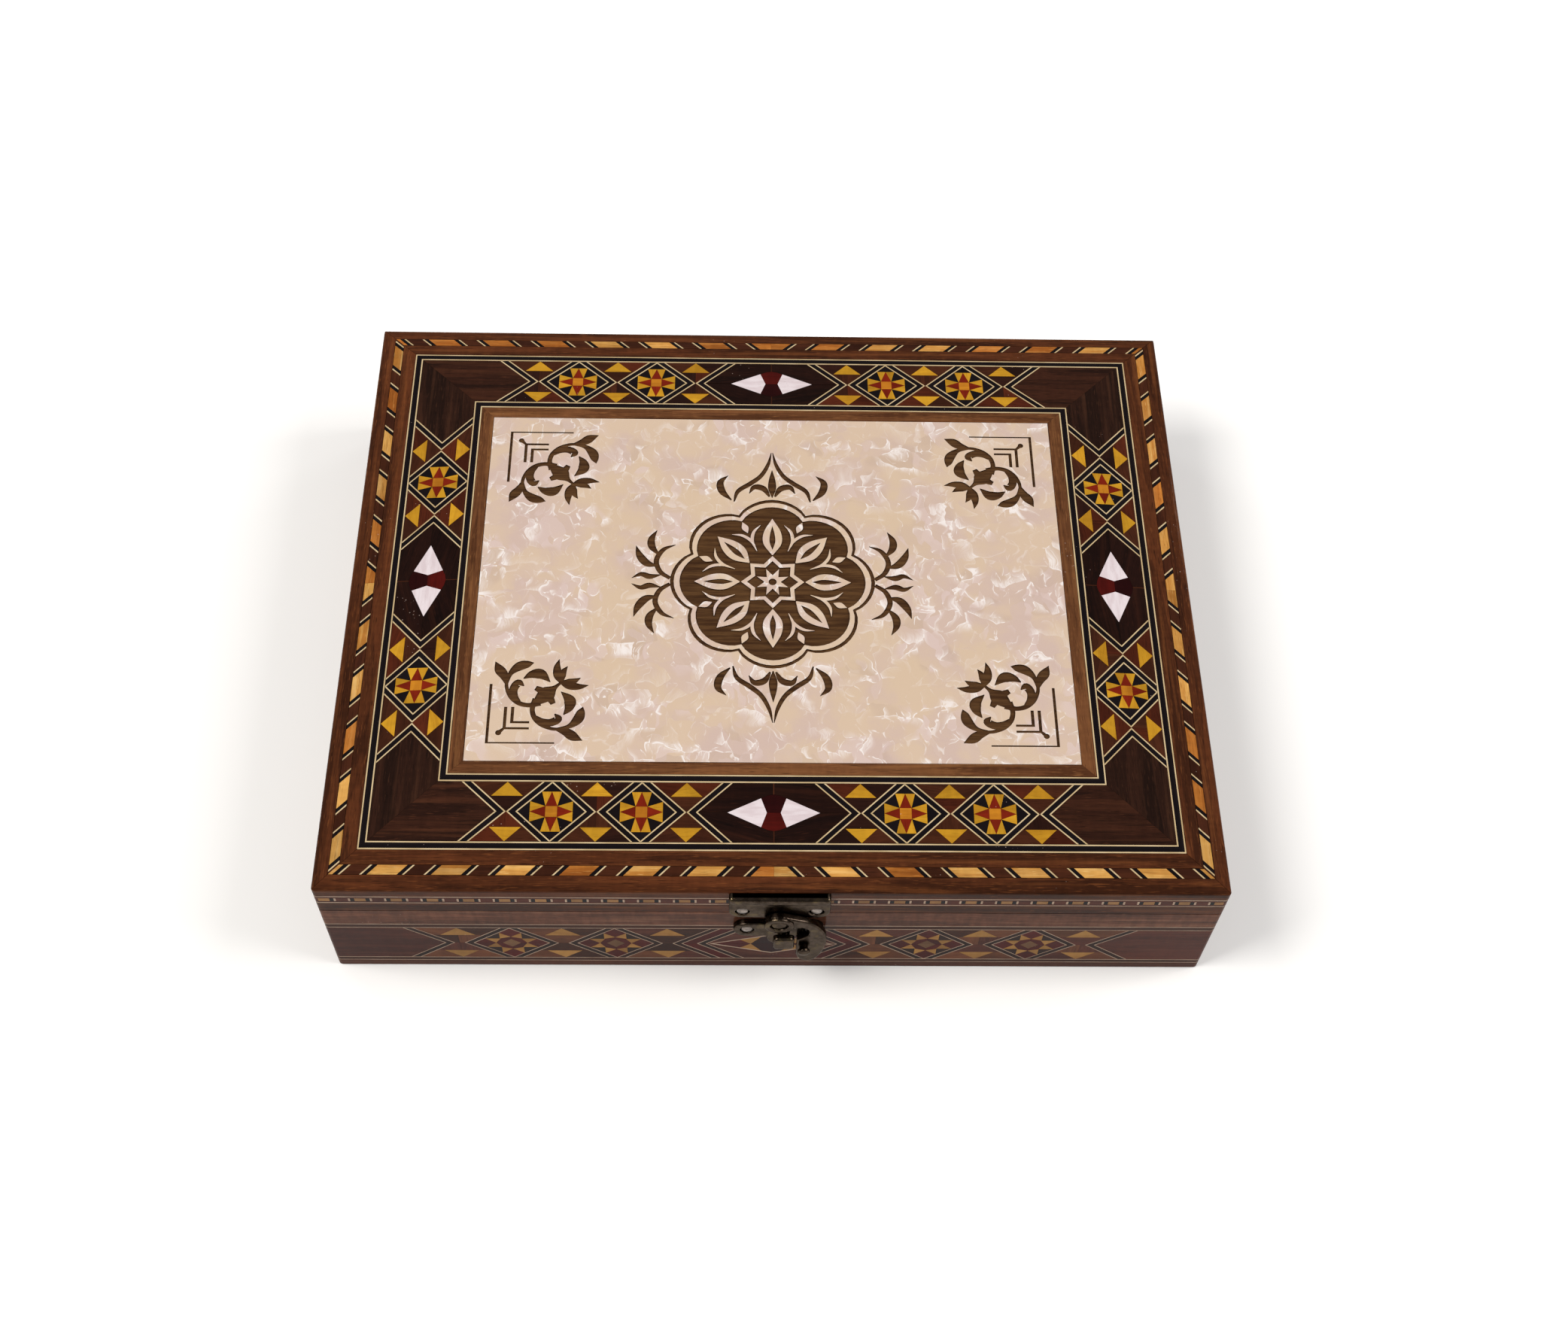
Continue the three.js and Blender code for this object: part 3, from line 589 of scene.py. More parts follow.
def bent_band(piece, at, start, low, high, look, top=0.0, bottom=TILE_DEPTH, tone=0.0, shift=NO_SHIFT):
    """A band that bends round half a corner, divided along its length."""
    points, grain, faces = [], [], []
    for step in range(ARC_STEPS + 1):
        u = start + CORNER_ARC * step / ARC_STEPS
        for w, depth in ((low, top), (high, top), (high, bottom), (low, bottom)):
            w += SEAM if w == low else -SEAM
            points.append(at(u, w, depth))
            grain.append(Vector((u, w, depth)) + shift)
    for step in range(ARC_STEPS):
        here, there = 4 * step, 4 * step + 4
        for k in range(4):
            faces.append([here + k, there + k, there + (k + 1) % 4, here + (k + 1) % 4])
    last = 4 * ARC_STEPS
    faces += [[0, 1, 2, 3], [last + 3, last + 2, last + 1, last]]
    piece.add(points, faces, look, grain, tone)


def clipped(outline, a, b, limit):
    """The part of a convex outline where a * u + b * w <= limit."""
    result = []
    for index, here in enumerate(outline):
        before = outline[index - 1]
        from_value = a * before[0] + b * before[1] - limit
        to_value = a * here[0] + b * here[1] - limit
        if (from_value > 0) != (to_value > 0):
            share = from_value / (from_value - to_value)
            result.append(tuple(p + (q - p) * share for p, q in zip(before, here)))
        if to_value <= 0:
            result.append(tuple(here))
    return result


def rectangle(u0, u1, w0, w1):
    return [(u0, w0), (u1, w0), (u1, w1), (u0, w1)]


# ---------- marquetry ----------

Style = namedtuple(
    "Style", "half crossings waist slope lines triangle_height triangle_half browns plain yellow core pale bow"
)


def inner_offset(style):
    """How far along the strip a chevron's inside tip lies from its outside tip."""
    return sum(style.lines) / math.sin(math.atan(style.slope))


def chevron(lay, style, crossing, direction, limit):
    """A V of pale, dark and pale lines whose tip faces the crossing."""
    lean = math.atan(style.slope)
    sin, cos = math.sin(lean), math.cos(lean)
    start = 0.0
    for width, look in zip(style.lines, (style.pale, style.core, style.pale)):
        end = start + width
        arm = rectangle(0.0, limit, 0.0, style.half)
        arm = clipped(arm, -sin, cos, -sin * style.waist - start)
        arm = clipped(arm, sin, -cos, sin * style.waist + end)
        start = end
        for sign in (-1, 1):
            lay(look, arm, direction * sign * lean, direction, sign, crossing)


def hourglass(lay, style, crossing):
    """The triangles above and below a crossing."""
    base = style.half - style.triangle_height
    edge = style.waist + style.half / style.slope
    shoulder = style.waist + base / style.slope
    yellow = min(style.triangle_half, shoulder)
    for sign in (-1, 1):
        lay(style.yellow, [(0, style.half), (-yellow, base), (yellow, base)], about(0.2), 1, sign, crossing)
        for hand in (-1, 1):
            corner = [(0, style.half), (yellow, base), (shoulder, base), (edge, style.half)]
            lay(draw.choice(style.browns), corner, about(0.3), hand, sign, crossing)
        if draw.random() < 0.5:
            lower = [(-shoulder, base), (-style.waist, 0), (style.waist, 0), (shoulder, base)]
            lay(draw.choice(style.browns), lower, 0.0, 1, sign, crossing)
            continue
        for hand in (-1, 1):
            part = [(0, base), (0, 0), (style.waist, 0), (shoulder, base)]
            lay(draw.choice(style.browns), part, math.pi / 2, hand, sign, crossing)


def lid_star(lay, style, centre, width):
    """A square with four rays that end in black tips, in a diamond of yellow flanks and black corners."""
    height = width * style.slope
    square = 1.65
    reach_u, reach_w = 0.64 * width, 0.7 * height
    side_w = height * (1 - reach_u / width)
    side_u = width * (1 - reach_w / height)
    corner = (square, square)
    lay("orange", rectangle(-square, square, -square, square), by=centre)
    for hand in (-1, 1):
        lay("brick", [(square, -square), (reach_u, 0), corner], 0.0, hand, 1, centre)
        lay("brick", [(-square, square), (0, reach_w), corner], QUARTER_TURN, 1, hand, centre)
        lay("black", [(reach_u, -side_w), (width, 0), (reach_u, side_w)], 0.0, hand, 1, centre)
        lay("black", [(-side_u, reach_w), (0, height), (side_u, reach_w)], QUARTER_TURN, 1, hand, centre)
        for sign in (-1, 1):
            lay("mustard", [corner, (reach_u, 0), (reach_u, side_w)], 0.0, hand, sign, centre)
            lay("mustard", [corner, (0, reach_w), (side_u, reach_w)], QUARTER_TURN, hand, sign, centre)
            lay("black", [corner, (reach_u, side_w), (side_u, reach_w)], WEDGE_TURN, hand, sign, centre)


def base_star(lay, style, centre, width):
    """A small square on its corner inside eight yellow triangles."""
    height = width * style.slope
    core = 2.6
    waist = 0.28 * width
    reach_u, reach_w = 0.7 * width, 0.7 * height
    side_w = height * (1 - reach_u / width)
    side_u = width * (1 - reach_w / height)
    inner_u, inner_w = 0.42 * width, 0.42 * height

    def part(look, outline, hand, sign):
        lay(look, outline, about(0.5), hand, sign, centre)

    lay("tan", [(core, 0), (0, core), (-core, 0), (0, -core)], by=centre)
    for hand in (-1, 1):
        part("crimson", [(reach_u, -side_w), (width, 0), (reach_u, side_w), (inner_u, 0)], hand, 1)
        part("crimson", [(-side_u, reach_w), (0, height), (side_u, reach_w), (0, inner_w)], 1, hand)
        for sign in (-1, 1):
            part(style.yellow, [(reach_u, side_w), (inner_u, 0), (waist, side_w)], hand, sign)
            part(style.yellow, [(side_u, reach_w), (0, inner_w), (side_u, waist)], hand, sign)
            ring = [(core, 0), (inner_u, 0), (waist, side_w), (side_u, waist), (0, inner_w), (0, core)]
            part("crimson", ring, hand, sign)
            wedge = [(waist, side_w), (reach_u, side_w), (side_u, reach_w), (side_u, waist)]
            part("smoke", wedge, hand, sign)


def lid_centre(lay, style):
    """Two white kites with a dark red bow between them, on ebony."""
    start = style.crossings[0] - style.waist - inner_offset(style)
    top = start - style.half / style.slope
    tip, corner, inner = 12.8, (3.5, 4.35), 1.9
    crest_u, crest_w, crown_w = 1.75, 5.15, 5.5
    joint = 0.18
    for hand in (-1, 1):
        lay("shell", [(tip, 0), corner, (inner, 0), (corner[0], -corner[1])], hand=hand)
        for sign in (-1, 1):
            ground = [(start, joint / 2), (top, style.half), (joint, style.half), (joint, crown_w),
                      (crest_u, crest_w), corner, (tip, joint / 2)]
            lay("ebony", ground, about(0.3), hand, sign, tone=-0.2 - 0.2 * sign)
    for sign, look in zip((1, -1), style.bow):
        bow = [(inner, 0), corner, (crest_u, crest_w), (0, crown_w), (-crest_u, crest_w),
               (-corner[0], corner[1]), (-inner, 0)]
        lay(look, bow, sign=sign, tone=0.0)
        lay("umber", rectangle(-joint, joint, crown_w, style.half), math.pi / 2, sign=sign)


def base_centre(lay, style):
    """A second pair of chevrons and a long four-pointed star with bow-ties."""
    band = 4.0
    second = style.crossings[0] - style.waist - inner_offset(style) - band
    first_tip = second + band
    rise = style.half / style.slope
    for hand in (-1, 1):
        chevron(lay, style._replace(waist=0.0), hand * second, -hand, second)
        for sign in (-1, 1):
            red = [(first_tip, 0), (first_tip - rise, style.half), (second - rise, style.half), (second, 0)]
            lay("crimson", red, 0.7, hand, sign)
    inside = second - inner_offset(style)
    tip_u, tip_w = inside - 0.5, 6.2
    line, knot, wing = 0.5, 5.9, 3.0
    fall = tip_w / tip_u
    core_u, core_w = tip_u - line / fall, tip_w - line
    near, far = [(u, core_w * (1 - u / core_u)) for u in (knot - wing, knot + wing)]
    for hand, sign in QUARTERS:
        ground = [(inside, 0), (inside - rise, style.half), (0, style.half), (0, tip_w), (tip_u, 0)]
        lay("plum", ground, about(0.3), hand, sign)
        edge = [(tip_u, 0), (0, tip_w), (0, core_w), (core_u, 0)]
        lay(style.pale, edge, -hand * sign * math.atan(fall), hand, sign)
        lay(style.yellow, [(knot, 0), far, near], 0.3, hand, sign)
        lay("crimson", [(core_u, 0), far, (knot, 0)], 0.0, hand, sign)
        lay("garnet", [(knot, 0), near, (0, core_w), (0, 0)], 0.0, hand, sign)


def strip_pattern(piece, at, style, star, centre, end_at, rounded=False):
    """Everything in one marquetry strip. end_at gives how far the strip reaches at a distance across it."""
    lay = tile_layer(piece, at)
    centre(lay, style)
    half, crossings = style.half, style.crossings
    rise = half / style.slope
    inner = inner_offset(style)
    for hand in (-1, 1):
        for index, crossing in enumerate(crossings):
            hourglass(lay, style, hand * crossing)
            reach = (crossing - crossings[index - 1]) / 2 if index else crossing
            chevron(lay, style, hand * crossing, -hand, reach)
            if crossing == crossings[-1]:
                chevron(lay, style, hand * crossing, hand, 2 * half + inner)
                continue
            after = crossings[index + 1]
            chevron(lay, style, hand * crossing, hand, (after - crossing) / 2)
            star(lay, style, hand * (crossing + after) / 2, (after - crossing) / 2 - style.waist - inner)
        last = crossings[-1] + style.waist + inner
        low, high = end_at(-half), end_at(half)
        outline = [(last, 0), (last + rise, -half), (low, -half), (high, half), (last + rise, half)]
        plain = dict(tone=draw.uniform(-0.4, 0.2), shift=Vector((draw.uniform(0, GRAIN_SPREAD), 0, 0)))
        lay(style.plain, outline, hand=hand, **plain)
        if rounded:
            start = low if hand > 0 else -low - CORNER_ARC
            bent_band(piece, at, start, -half, half, style.plain, **plain)


# ---------- the lid's bands ----------


def middle_and_half(band):
    return sum(band) / 2, (band[1] - band[0]) / 2


def crossings_that_fit(crossings, side):
    """A short side has one crossing less at each end."""
    return crossings if side.half_length == HALF_WIDTH else crossings[:-1]


def trapezoid(side, start, end):
    """A mitred band along one side of the lid's top."""
    near, far = side.half_length - start, side.half_length - end
    return [(-near, start), (near, start), (far, end), (-far, end)]


def mitred_tile(piece, side, start, end, look, **options):
    """The band as one tile, or as two where the crown bends under it."""
    stops = [start] + [bend for bend, _ in CROWN if start < bend < end] + [end]
    for low, high in zip(stops, stops[1:]):
        tile(piece, lid_surface(side), trapezoid(side, low, high), look, **options)


def string_stops(start, end, line, pale, core):
    """Where the pale, dark and pale lines of a string start and end."""
    return [(start, start + line, pale), (start + line, end - line, core), (end - line, end, pale)]


STRING_LINE = 0.4


def lid_strings():
    for node, (start, end) in (("lid_outer_string", OUTER_STRING), ("lid_inner_string", INNER_STRING)):
        piece = Piece(node + "_lines")
        for side in SIDES:
            mitred_tile(piece, side, start, end, "glue", **SHEET_GROUND)
            for low, high, look in string_stops(start, end, STRING_LINE, "bone", "black"):
                mitred_tile(piece, side, low, high, look, gap=FINE_SEAM)
        piece.make("lid", node)


LID_MIDDLE, LID_HALF = middle_and_half(SLOPE_BAND)
LID_STYLE = Style(
    half=LID_HALF, crossings=(24.1, 48.9, 73.7), waist=0.0, slope=0.925, lines=(0.4, 1.34, 0.4),
    triangle_height=4.25, triangle_half=4.4, browns=("umber", "russet", "smoke", "umber"), plain="plain",
    yellow="mustard", core="black", pale="bone", bow=("garnet", "crimson"),
)


def lid_strip(side):
    style = LID_STYLE._replace(crossings=crossings_that_fit(LID_STYLE.crossings, side))
    if side.half_length != HALF_WIDTH:
        style = style._replace(plain="bark", bow=("crimson", "garnet"))
    piece = Piece("lid_marquetry_tiles_" + side.name)
    mitred_tile(piece, side, *SLOPE_BAND, "glue", **SHEET_GROUND)
    at = shifted(lid_surface(side), LID_MIDDLE)
    strip_pattern(piece, at, style, lid_star, lid_centre, lambda w: side.half_length - LID_MIDDLE - w)
    piece.make("lid", "lid_marquetry_" + side.name)


def lid_frame(side):
    piece = Piece("lid_frame_strip_" + side.name)
    mitred_tile(piece, side, *FRAME_BAND, "frame", bottom=SHEET_GROUND["bottom"], tone=about(0.2))
    piece.make("lid", "lid_inner_frame_" + side.name)


# The rope's pieces, counted from the middle of a side. Their joints run parallel to the mitres.
ROPE_PIECES = [("black", 1.4), ("bone", 0.6), ("umber", 5.2), ("bone", 0.6), ("black", 1.4), ("blond", 8.1)]
ROPE_CENTRE = 6.4
AMBER_SHARE = 0.35


def rope_inlay():
    piece = Piece("lid_rope_pieces")
    start, end = ROPE_START, ROPE_START + ROPE_WIDTH
    for side in SIDES:
        at = lid_surface(side)
        lay = tile_layer(piece, at)
        tile(piece, at, trapezoid(side, start, end), "glue", **INLAY_GROUND)
        reach = side.half_length - start
        for hand in (-1, 1):
            low, high, look = 0.0, ROPE_CENTRE, "blond"
            index = 0
            while low < reach:
                outline = rectangle(0.0, side.half_length, start, end)
                outline = clipped(outline, 1, 1, min(high, reach) + start)
                outline = clipped(outline, -1, -1, -low - start)
                if look == "blond" and draw.random() < AMBER_SHARE:
                    look = "amber"
                lay(look, outline, hand=hand, tone=about(0.5))
                look, length = ROPE_PIECES[index % len(ROPE_PIECES)]
                low, high = high, high + length
                index += 1
    piece.make("lid", "lid_rope_inlay")


# ---------- the walls' bands and the skirt ----------


def wall_band(piece, side, low, high, look, **options):
    """A band along a side's outer face, bent round the corner to the mitre at both ends."""
    at = wall_surface(side)
    flat = side.half_length - CORNER_RADIUS
    shared = dict(shift=Vector((draw.uniform(0, GRAIN_SPREAD), 0, 0)), tone=about(0.2))
    tile(piece, at, rectangle(-flat, flat, low, high), look, **shared, **options)
    options.pop("gap")
    for start in (-flat - CORNER_ARC, flat):
        bent_band(piece, at, start, low, high, look, **shared, **options)


WALL_LINE = 0.3


def wall_strings():
    for name in ("base_upper_string", "base_lower_string"):
        low, high = heights(name)
        piece = Piece(name + "_lines")
        for side in SIDES:
            wall_band(piece, side, low, high, "glue", **WALL_GROUND)
            for start, end, look in string_stops(low, high, WALL_LINE, "ivory", "umber"):
                wall_band(piece, side, start, end, look, gap=FINE_SEAM)
        piece.make("base", name)


BASE_MIDDLE, BASE_HALF = middle_and_half(BASE_BAND)
BASE_STYLE = Style(
    half=BASE_HALF, crossings=(29.5, 59.0, 88.4), waist=1.3, slope=0.907, lines=(0.28, 1.4, 0.28),
    triangle_height=4.6, triangle_half=5.0, browns=("chestnut", "plum", "chestnut", "umber"), plain="plum",
    yellow="ochre", core="smoke", pale="ivory", bow=(),
)


def wall_strip(side):
    style = BASE_STYLE._replace(crossings=crossings_that_fit(BASE_STYLE.crossings, side))
    piece = Piece("base_marquetry_tiles_" + side.name)
    wall_band(piece, side, *BASE_BAND, "glue", **WALL_GROUND)
    at = shifted(wall_surface(side), BASE_MIDDLE)
    flat = side.half_length - CORNER_RADIUS
    strip_pattern(piece, at, style, base_star, base_centre, lambda w: flat, rounded=True)
    piece.make("base", "base_marquetry_" + side.name)


SKIRT_PIECES = [("sand", 3.1), ("black", 1.1), ("ivory", 0.6), ("plum", 3.3), ("ivory", 0.6), ("black", 1.1)]
SKIRT_LINE = 0.4
SKIRT_MARGIN = 0.75


def skirt_inlay():
    piece = Piece("lid_skirt_pieces")
    low, high = heights("lid_skirt_inlay")
    line_low, line_high = low + SKIRT_LINE, high - SKIRT_LINE
    inside = (line_low + SKIRT_MARGIN, line_high - SKIRT_MARGIN)
    for side in SIDES:
        at = wall_surface(side)
        flat = side.half_length - CORNER_RADIUS
        wall_band(piece, side, low, high, "glue", gap=0.0, **INLAY_GROUND)
        for start, end, look in ((low, line_low, "ivory"), (line_high, high, "ivory"),
                                 (line_low, inside[0], "plum"), (inside[1], line_high, "plum")):
            wall_band(piece, side, start, end, look, gap=FINE_SEAM)
        u, index = -flat, 0
        while u < flat:
            look, length = SKIRT_PIECES[index % len(SKIRT_PIECES)]
            tile(piece, at, rectangle(u, min(u + length, flat), *inside), look, tone=about(0.4))
            u += length
            index += 1
        for start in (-flat - CORNER_ARC, flat):
            bent_band(piece, at, start, *inside, "plum")
    piece.make("lid", "lid_skirt_inlay")


lid_strings()
rope_inlay()
skirt_inlay()
wall_strings()
for side in SIDES:
    lid_strip(side)
    lid_frame(side)
    wall_strip(side)

# ---------- curves for the ornament and the latch ----------


def arc(x, y, radius, start, end, count=24):
    """Points along an arc, from one angle in degrees to another."""
    angles = [math.radians(start + (end - start) * index / count) for index in range(count + 1)]
    return [(x + radius * math.cos(angle), y + radius * math.sin(angle)) for angle in angles]


def circle(x, y, radius, count=28):
    return arc(x, y, radius, 0, 360, count)[:-1]


def smooth_line(points, count=6):
    """A Catmull-Rom curve through the points."""
    points = [Vector(p) for p in points]
    points = [2 * points[0] - points[1]] + points + [2 * points[-1] - points[-2]]
    result = []
    for a, b, c, d in zip(points, points[1:], points[2:], points[3:]):
        for step in range(count):
            t = step / count
            result.append(((2 * b) + (c - a) * t + (2 * a - 5 * b + 4 * c - d) * t**2
                           + (3 * b - a - 3 * c + d) * t**3) / 2)
    return result + [points[-2]]


def stroke(points, widths, count=6):
    """The outline of a brush stroke along a smooth curve, whose width follows the given widths."""
    spine = smooth_line(points, count)
    sizes = [value.x for value in smooth_line([(width, 0.0) for width in widths], count)]
    steps = len(spine) - 1
    left, right = [], []
    for index, here in enumerate(spine):
        along = (spine[min(index + 1, steps)] - spine[max(index - 1, 0)]).normalized()
        across = Vector((-along.y, along.x))
        place = index / steps * (len(sizes) - 1)
        low = min(int(place), len(sizes) - 2)
        half = max(sizes[low] + (sizes[low + 1] - sizes[low]) * (place - low), SMALLEST) / 2
        left.append(here + across * half)
        right.append(here - across * half)
    return right + left[::-1]


def turned_outline(outline, degrees):
    cos, sin = math.cos(math.radians(degrees)), math.sin(math.radians(degrees))
    return [(cos * x - sin * y, sin * x + cos * y) for x, y in outline]


def mirrored(outline, hand, sign):
    return [(hand * x, sign * y) for x, y in outline]


def regions(shapes):
    """Splits overlapping outlines into triangles, each owned by the last outline that holds it."""
    points, faces = [], []
    for outline in shapes:
        kept = tidied(outline)
        if area(kept) < 0:
            kept.reverse()
        faces.append(list(range(len(points), len(points) + len(kept))))
        points += kept
    verts, _, triangles, _, _, owners = delaunay_2d_cdt(points, [], faces, 0, 1e-4, True)
    return verts, [(tuple(triangle), max(owner)) for triangle, owner in zip(triangles, owners) if owner]


# ---------- the pearl sheet and its engraved ornament ----------

ENGRAVING_DEPTH = 0.4
CORNER_INSET = 5.6


def corner_ornament():
    """Outlines to engrave in one corner, which lies at the origin. Each half is mirrored in the diagonal."""
    half = [stroke(*path) for path in [
        ([(14.6, 13.6), (11.8, 12.6), (8.8, 13.2), (6.4, 15.2), (5.0, 18.0), (4.7, 20.4)],
         [2.4, 1.5, 1.5, 1.4, 1.1, 1.0]),
        ([(4.9, 19.4), (3.9, 22.4), (2.4, 24.6), (1.1, 27.2)], [0.8, 2.6, 2.9, 0.1]),
        ([(4.9, 19.6), (5.7, 23.2), (8.0, 25.6), (10.4, 26.4), (12.2, 26.9)], [0.5, 1.5, 3.0, 2.4, 0.1]),
        ([(8.7, 13.6), (7.3, 15.6), (6.9, 18.0), (8.2, 20.1), (9.8, 19.0)], [1.2, 2.0, 2.5, 2.3, 0.3]),
        ([(9.5, 21.5), (11.8, 22.9), (14.4, 23.0), (17.2, 20.4)], [0.3, 2.6, 3.3, 0.2]),
        ([(20.4, 20.0), (19.3, 22.6), (18.9, 25.4), (19.4, 28.2)], [0.8, 2.6, 2.0, 0.1]),
        ([(20.4, 20.2), (20.3, 22.4), (20.9, 24.2), (21.9, 25.8)], [0.8, 2.4, 1.7, 0.1]),
        ([(16.4, 16.4), (14.6, 17.6), (13.1, 18.4)], [3.0, 2.2, 1.5]),
    ]]
    whole = [
        stroke([(13.0, 13.0), (16.4, 16.4), (18.6, 18.6), (20.6, 20.6)], [1.6, 5.0, 1.5, 0.7]),
        circle(3.5, 3.5, 0.85, 20),
        stroke([(3.6, 3.6), (5.0, 5.0)], [1.2, 0.7], 1),
        rectangle(0.0, 19.4, 0.0, 0.45),
        rectangle(0.0, 0.8, 0.0, 19.6),
    ]
    for near in (4.6, 6.6):
        whole += [rectangle(near, 12.0, near, near + 0.7), rectangle(near, near + 0.9, near, 12.0)]
    return half + [[(y, x) for x, y in outline] for outline in half] + whole


def lobed(radius, depth=0.13, count=8, points=12):
    """A closed ring of rounded lobes that meet in cusps."""
    outline = []
    for index in range(count * points):
        angle = math.tau * index / (count * points)
        swell = abs(math.cos(angle * count / 2)) ** 0.8
        reach = radius * (1 - depth + depth * swell)
        outline.append((reach * math.cos(angle), reach * math.sin(angle)))
    return outline


def star_outline(outer, inner, turn=0.0, points=8):
    outline = []
    for index in range(points):
        for radius, place in ((outer, index), (inner, index + 0.5)):
            angle = math.tau * place / points + turn
            outline.append((radius * math.cos(angle), radius * math.sin(angle)))
    return outline


def medallion():
    """A generic lobed rosette with finials and leafy scrolls, as (outline, is it cut) pairs."""
    shapes = [(lobed(30.4), True), (lobed(29.3), False), (lobed(27.6), True)]
    petal = stroke([(9.8, 0), (14.0, 0), (18.4, 0), (23.2, 0)], [0.3, 5.4, 5.0, 0.1])
    slit = stroke([(11.8, 0), (14.6, 0), (17.4, 0), (20.4, 0)], [0.1, 1.7, 1.4, 0.1])
    curl = stroke([(11.2, 4.6), (14.8, 6.0), (18.2, 5.6), (20.8, 3.6)], [0.1, 0.9, 0.9, 0.1])
    bud = turned_outline(stroke([(19.4, 0), (21.4, 0), (23.6, 0)], [0.2, 2.0, 0.1]), 22.5)
    parts = [(petal, False), (slit, True), (mirrored(curl, 1, -1), False), (curl, False), (bud, False)]
    for index in range(8):
        shapes += [(turned_outline(outline, 45 * index), cut) for outline, cut in parts]
    shapes.append((star_outline(9.4, 6.9), False))
    shapes.append((star_outline(7.6, 5.6), True))
    shapes.append((star_outline(5.0, 2.4, math.pi / 8), False))
    shapes.append((circle(0, 0, 1.2, 20), True))
    leaves = [stroke(*path) for path in [
        ([(11.6, 29.6), (10.4, 33.6), (6.6, 36.6), (3.4, 39.6), (1.2, 44.0), (0.2, 48.6)],
         [0.4, 1.4, 1.6, 1.4, 1.1, 0.2]),
        ([(0.8, 31.6), (2.6, 34.6), (5.4, 35.2), (7.0, 32.8)], [0.6, 2.0, 1.8, 0.2]),
        ([(12.4, 30.2), (15.2, 33.4), (15.8, 37.0), (13.4, 39.6)], [0.4, 2.2, 2.0, 0.1]),
        ([(30.4, 1.0), (33.4, 3.4), (34.6, 7.4), (32.6, 11.4), (29.0, 13.2)], [1.2, 1.5, 1.6, 1.4, 0.2]),
        ([(34.2, 5.4), (37.4, 6.4), (39.6, 9.2), (40.8, 12.8)], [0.4, 2.4, 2.2, 0.1]),
        ([(33.8, 9.4), (36.0, 12.4), (36.2, 15.4), (34.6, 18.6)], [0.4, 2.2, 2.0, 0.1]),
        ([(33.2, 2.2), (36.4, 1.6), (39.0, 2.4), (41.8, 1.0)], [0.3, 1.9, 1.5, 0.1]),
    ]]
    centre_leaf = stroke([(0, 31.2), (0, 34.6), (0, 38.0), (0, 41.8)], [0.2, 2.4, 2.0, 0.1])
    for sign in (-1, 1):
        shapes.append((mirrored(centre_leaf, 1, sign), True))
        for hand in (-1, 1):
            shapes += [(mirrored(leaf, hand, sign), True) for leaf in leaves]
    return shapes


def pearl_sheet():
    """The sheet as one closed solid: pearl on top, scorched walls down to an engraved floor."""
    x, y = PEARL_HALF.x - SEAM, PEARL_HALF.y - SEAM
    shapes = [(rectangle(-x, x, -y, y), False)] + medallion()
    corner_x, corner_y = x - CORNER_INSET, y - CORNER_INSET
    for outline in corner_ornament():
        for hand, sign in QUARTERS:
            shapes.append(([(hand * (u - corner_x), sign * (v - corner_y)) for u, v in outline], True))
    verts, owned = regions([outline for outline, _ in shapes])
    piece = Piece("lid_pearl_engraved_sheet")
    top, low = TOP_HEIGHT, TOP_HEIGHT - VENEER + SEAM
    floor = top - ENGRAVING_DEPTH
    edges = {}
    for triangle, owner in owned:
        cut = shapes[owner][1]
        height, look = (floor, "engraved") if cut else (top, "pearl")
        piece.add([Vector((*verts[i], height)) for i in triangle], [[0, 1, 2]], look)
        piece.add([Vector((*verts[i], low)) for i in triangle], [[2, 1, 0]], "pearl")
        for edge in zip(triangle, triangle[1:] + triangle[:1]):
            edges[edge] = cut
    for (a, b), cut in edges.items():
        other = edges.get((b, a))
        if other is None:
            bottom, look = low, "pearl"
        elif other and not cut:
            bottom, look = floor, "scorched"
        else:
            continue
        wall = [Vector((*verts[i], height)) for height in (top, bottom) for i in (a, b)]
        piece.add(wall, [[0, 2, 3, 1]], look)
    weld(piece.make("lid", "lid_pearl_sheet"))


def weld(made, distance=1e-7):
    """Joins points that lie on each other, so that the faces close up."""
    shape = bmesh.new()
    shape.from_mesh(made.data)
    bmesh.ops.remove_doubles(shape, verts=shape.verts, dist=distance)
    shape.to_mesh(made.data)
    shape.free()


pearl_sheet()

# ---------- the latch: drawn flat, with x across, y up and z proud of the front face ----------

LATCH_X = sum(corner.x for corner in box_mm("latch_plate")) / 2
PLATE_FOOT = 0.1
PLATE_PROUD = 1.9
PLATE_BEVEL = 0.45
PIVOT_Y = 35.9
NAIL_RADIUS = 1.7
NAIL_HOLE = 1.9
NAIL_FOOT, NAIL_SHOULDER = 0.75, 1.3
UPPER_NAIL = (10.2, 39.7)
LOWER_NAIL = (8.8, 28.0)
HOOK_LOW, HOOK_HIGH, BOSS_HIGH = 2.2, 3.9, 4.6
BOSS_RADIUS = 4.1
CAST_ANGLE = 40


def face_at(x, y, z):
    return Vector((LATCH_X + x, -HALF_DEPTH - z, y))


def ring_faces(levels, count):
    """Faces between rings of points that follow each other."""
    faces = []
    for low in range(0, (levels - 1) * count, count):
        for i in range(count):
            j = (i + 1) % count
            faces.append([low + i, low + j, low + count + j, low + count + i])
    return faces


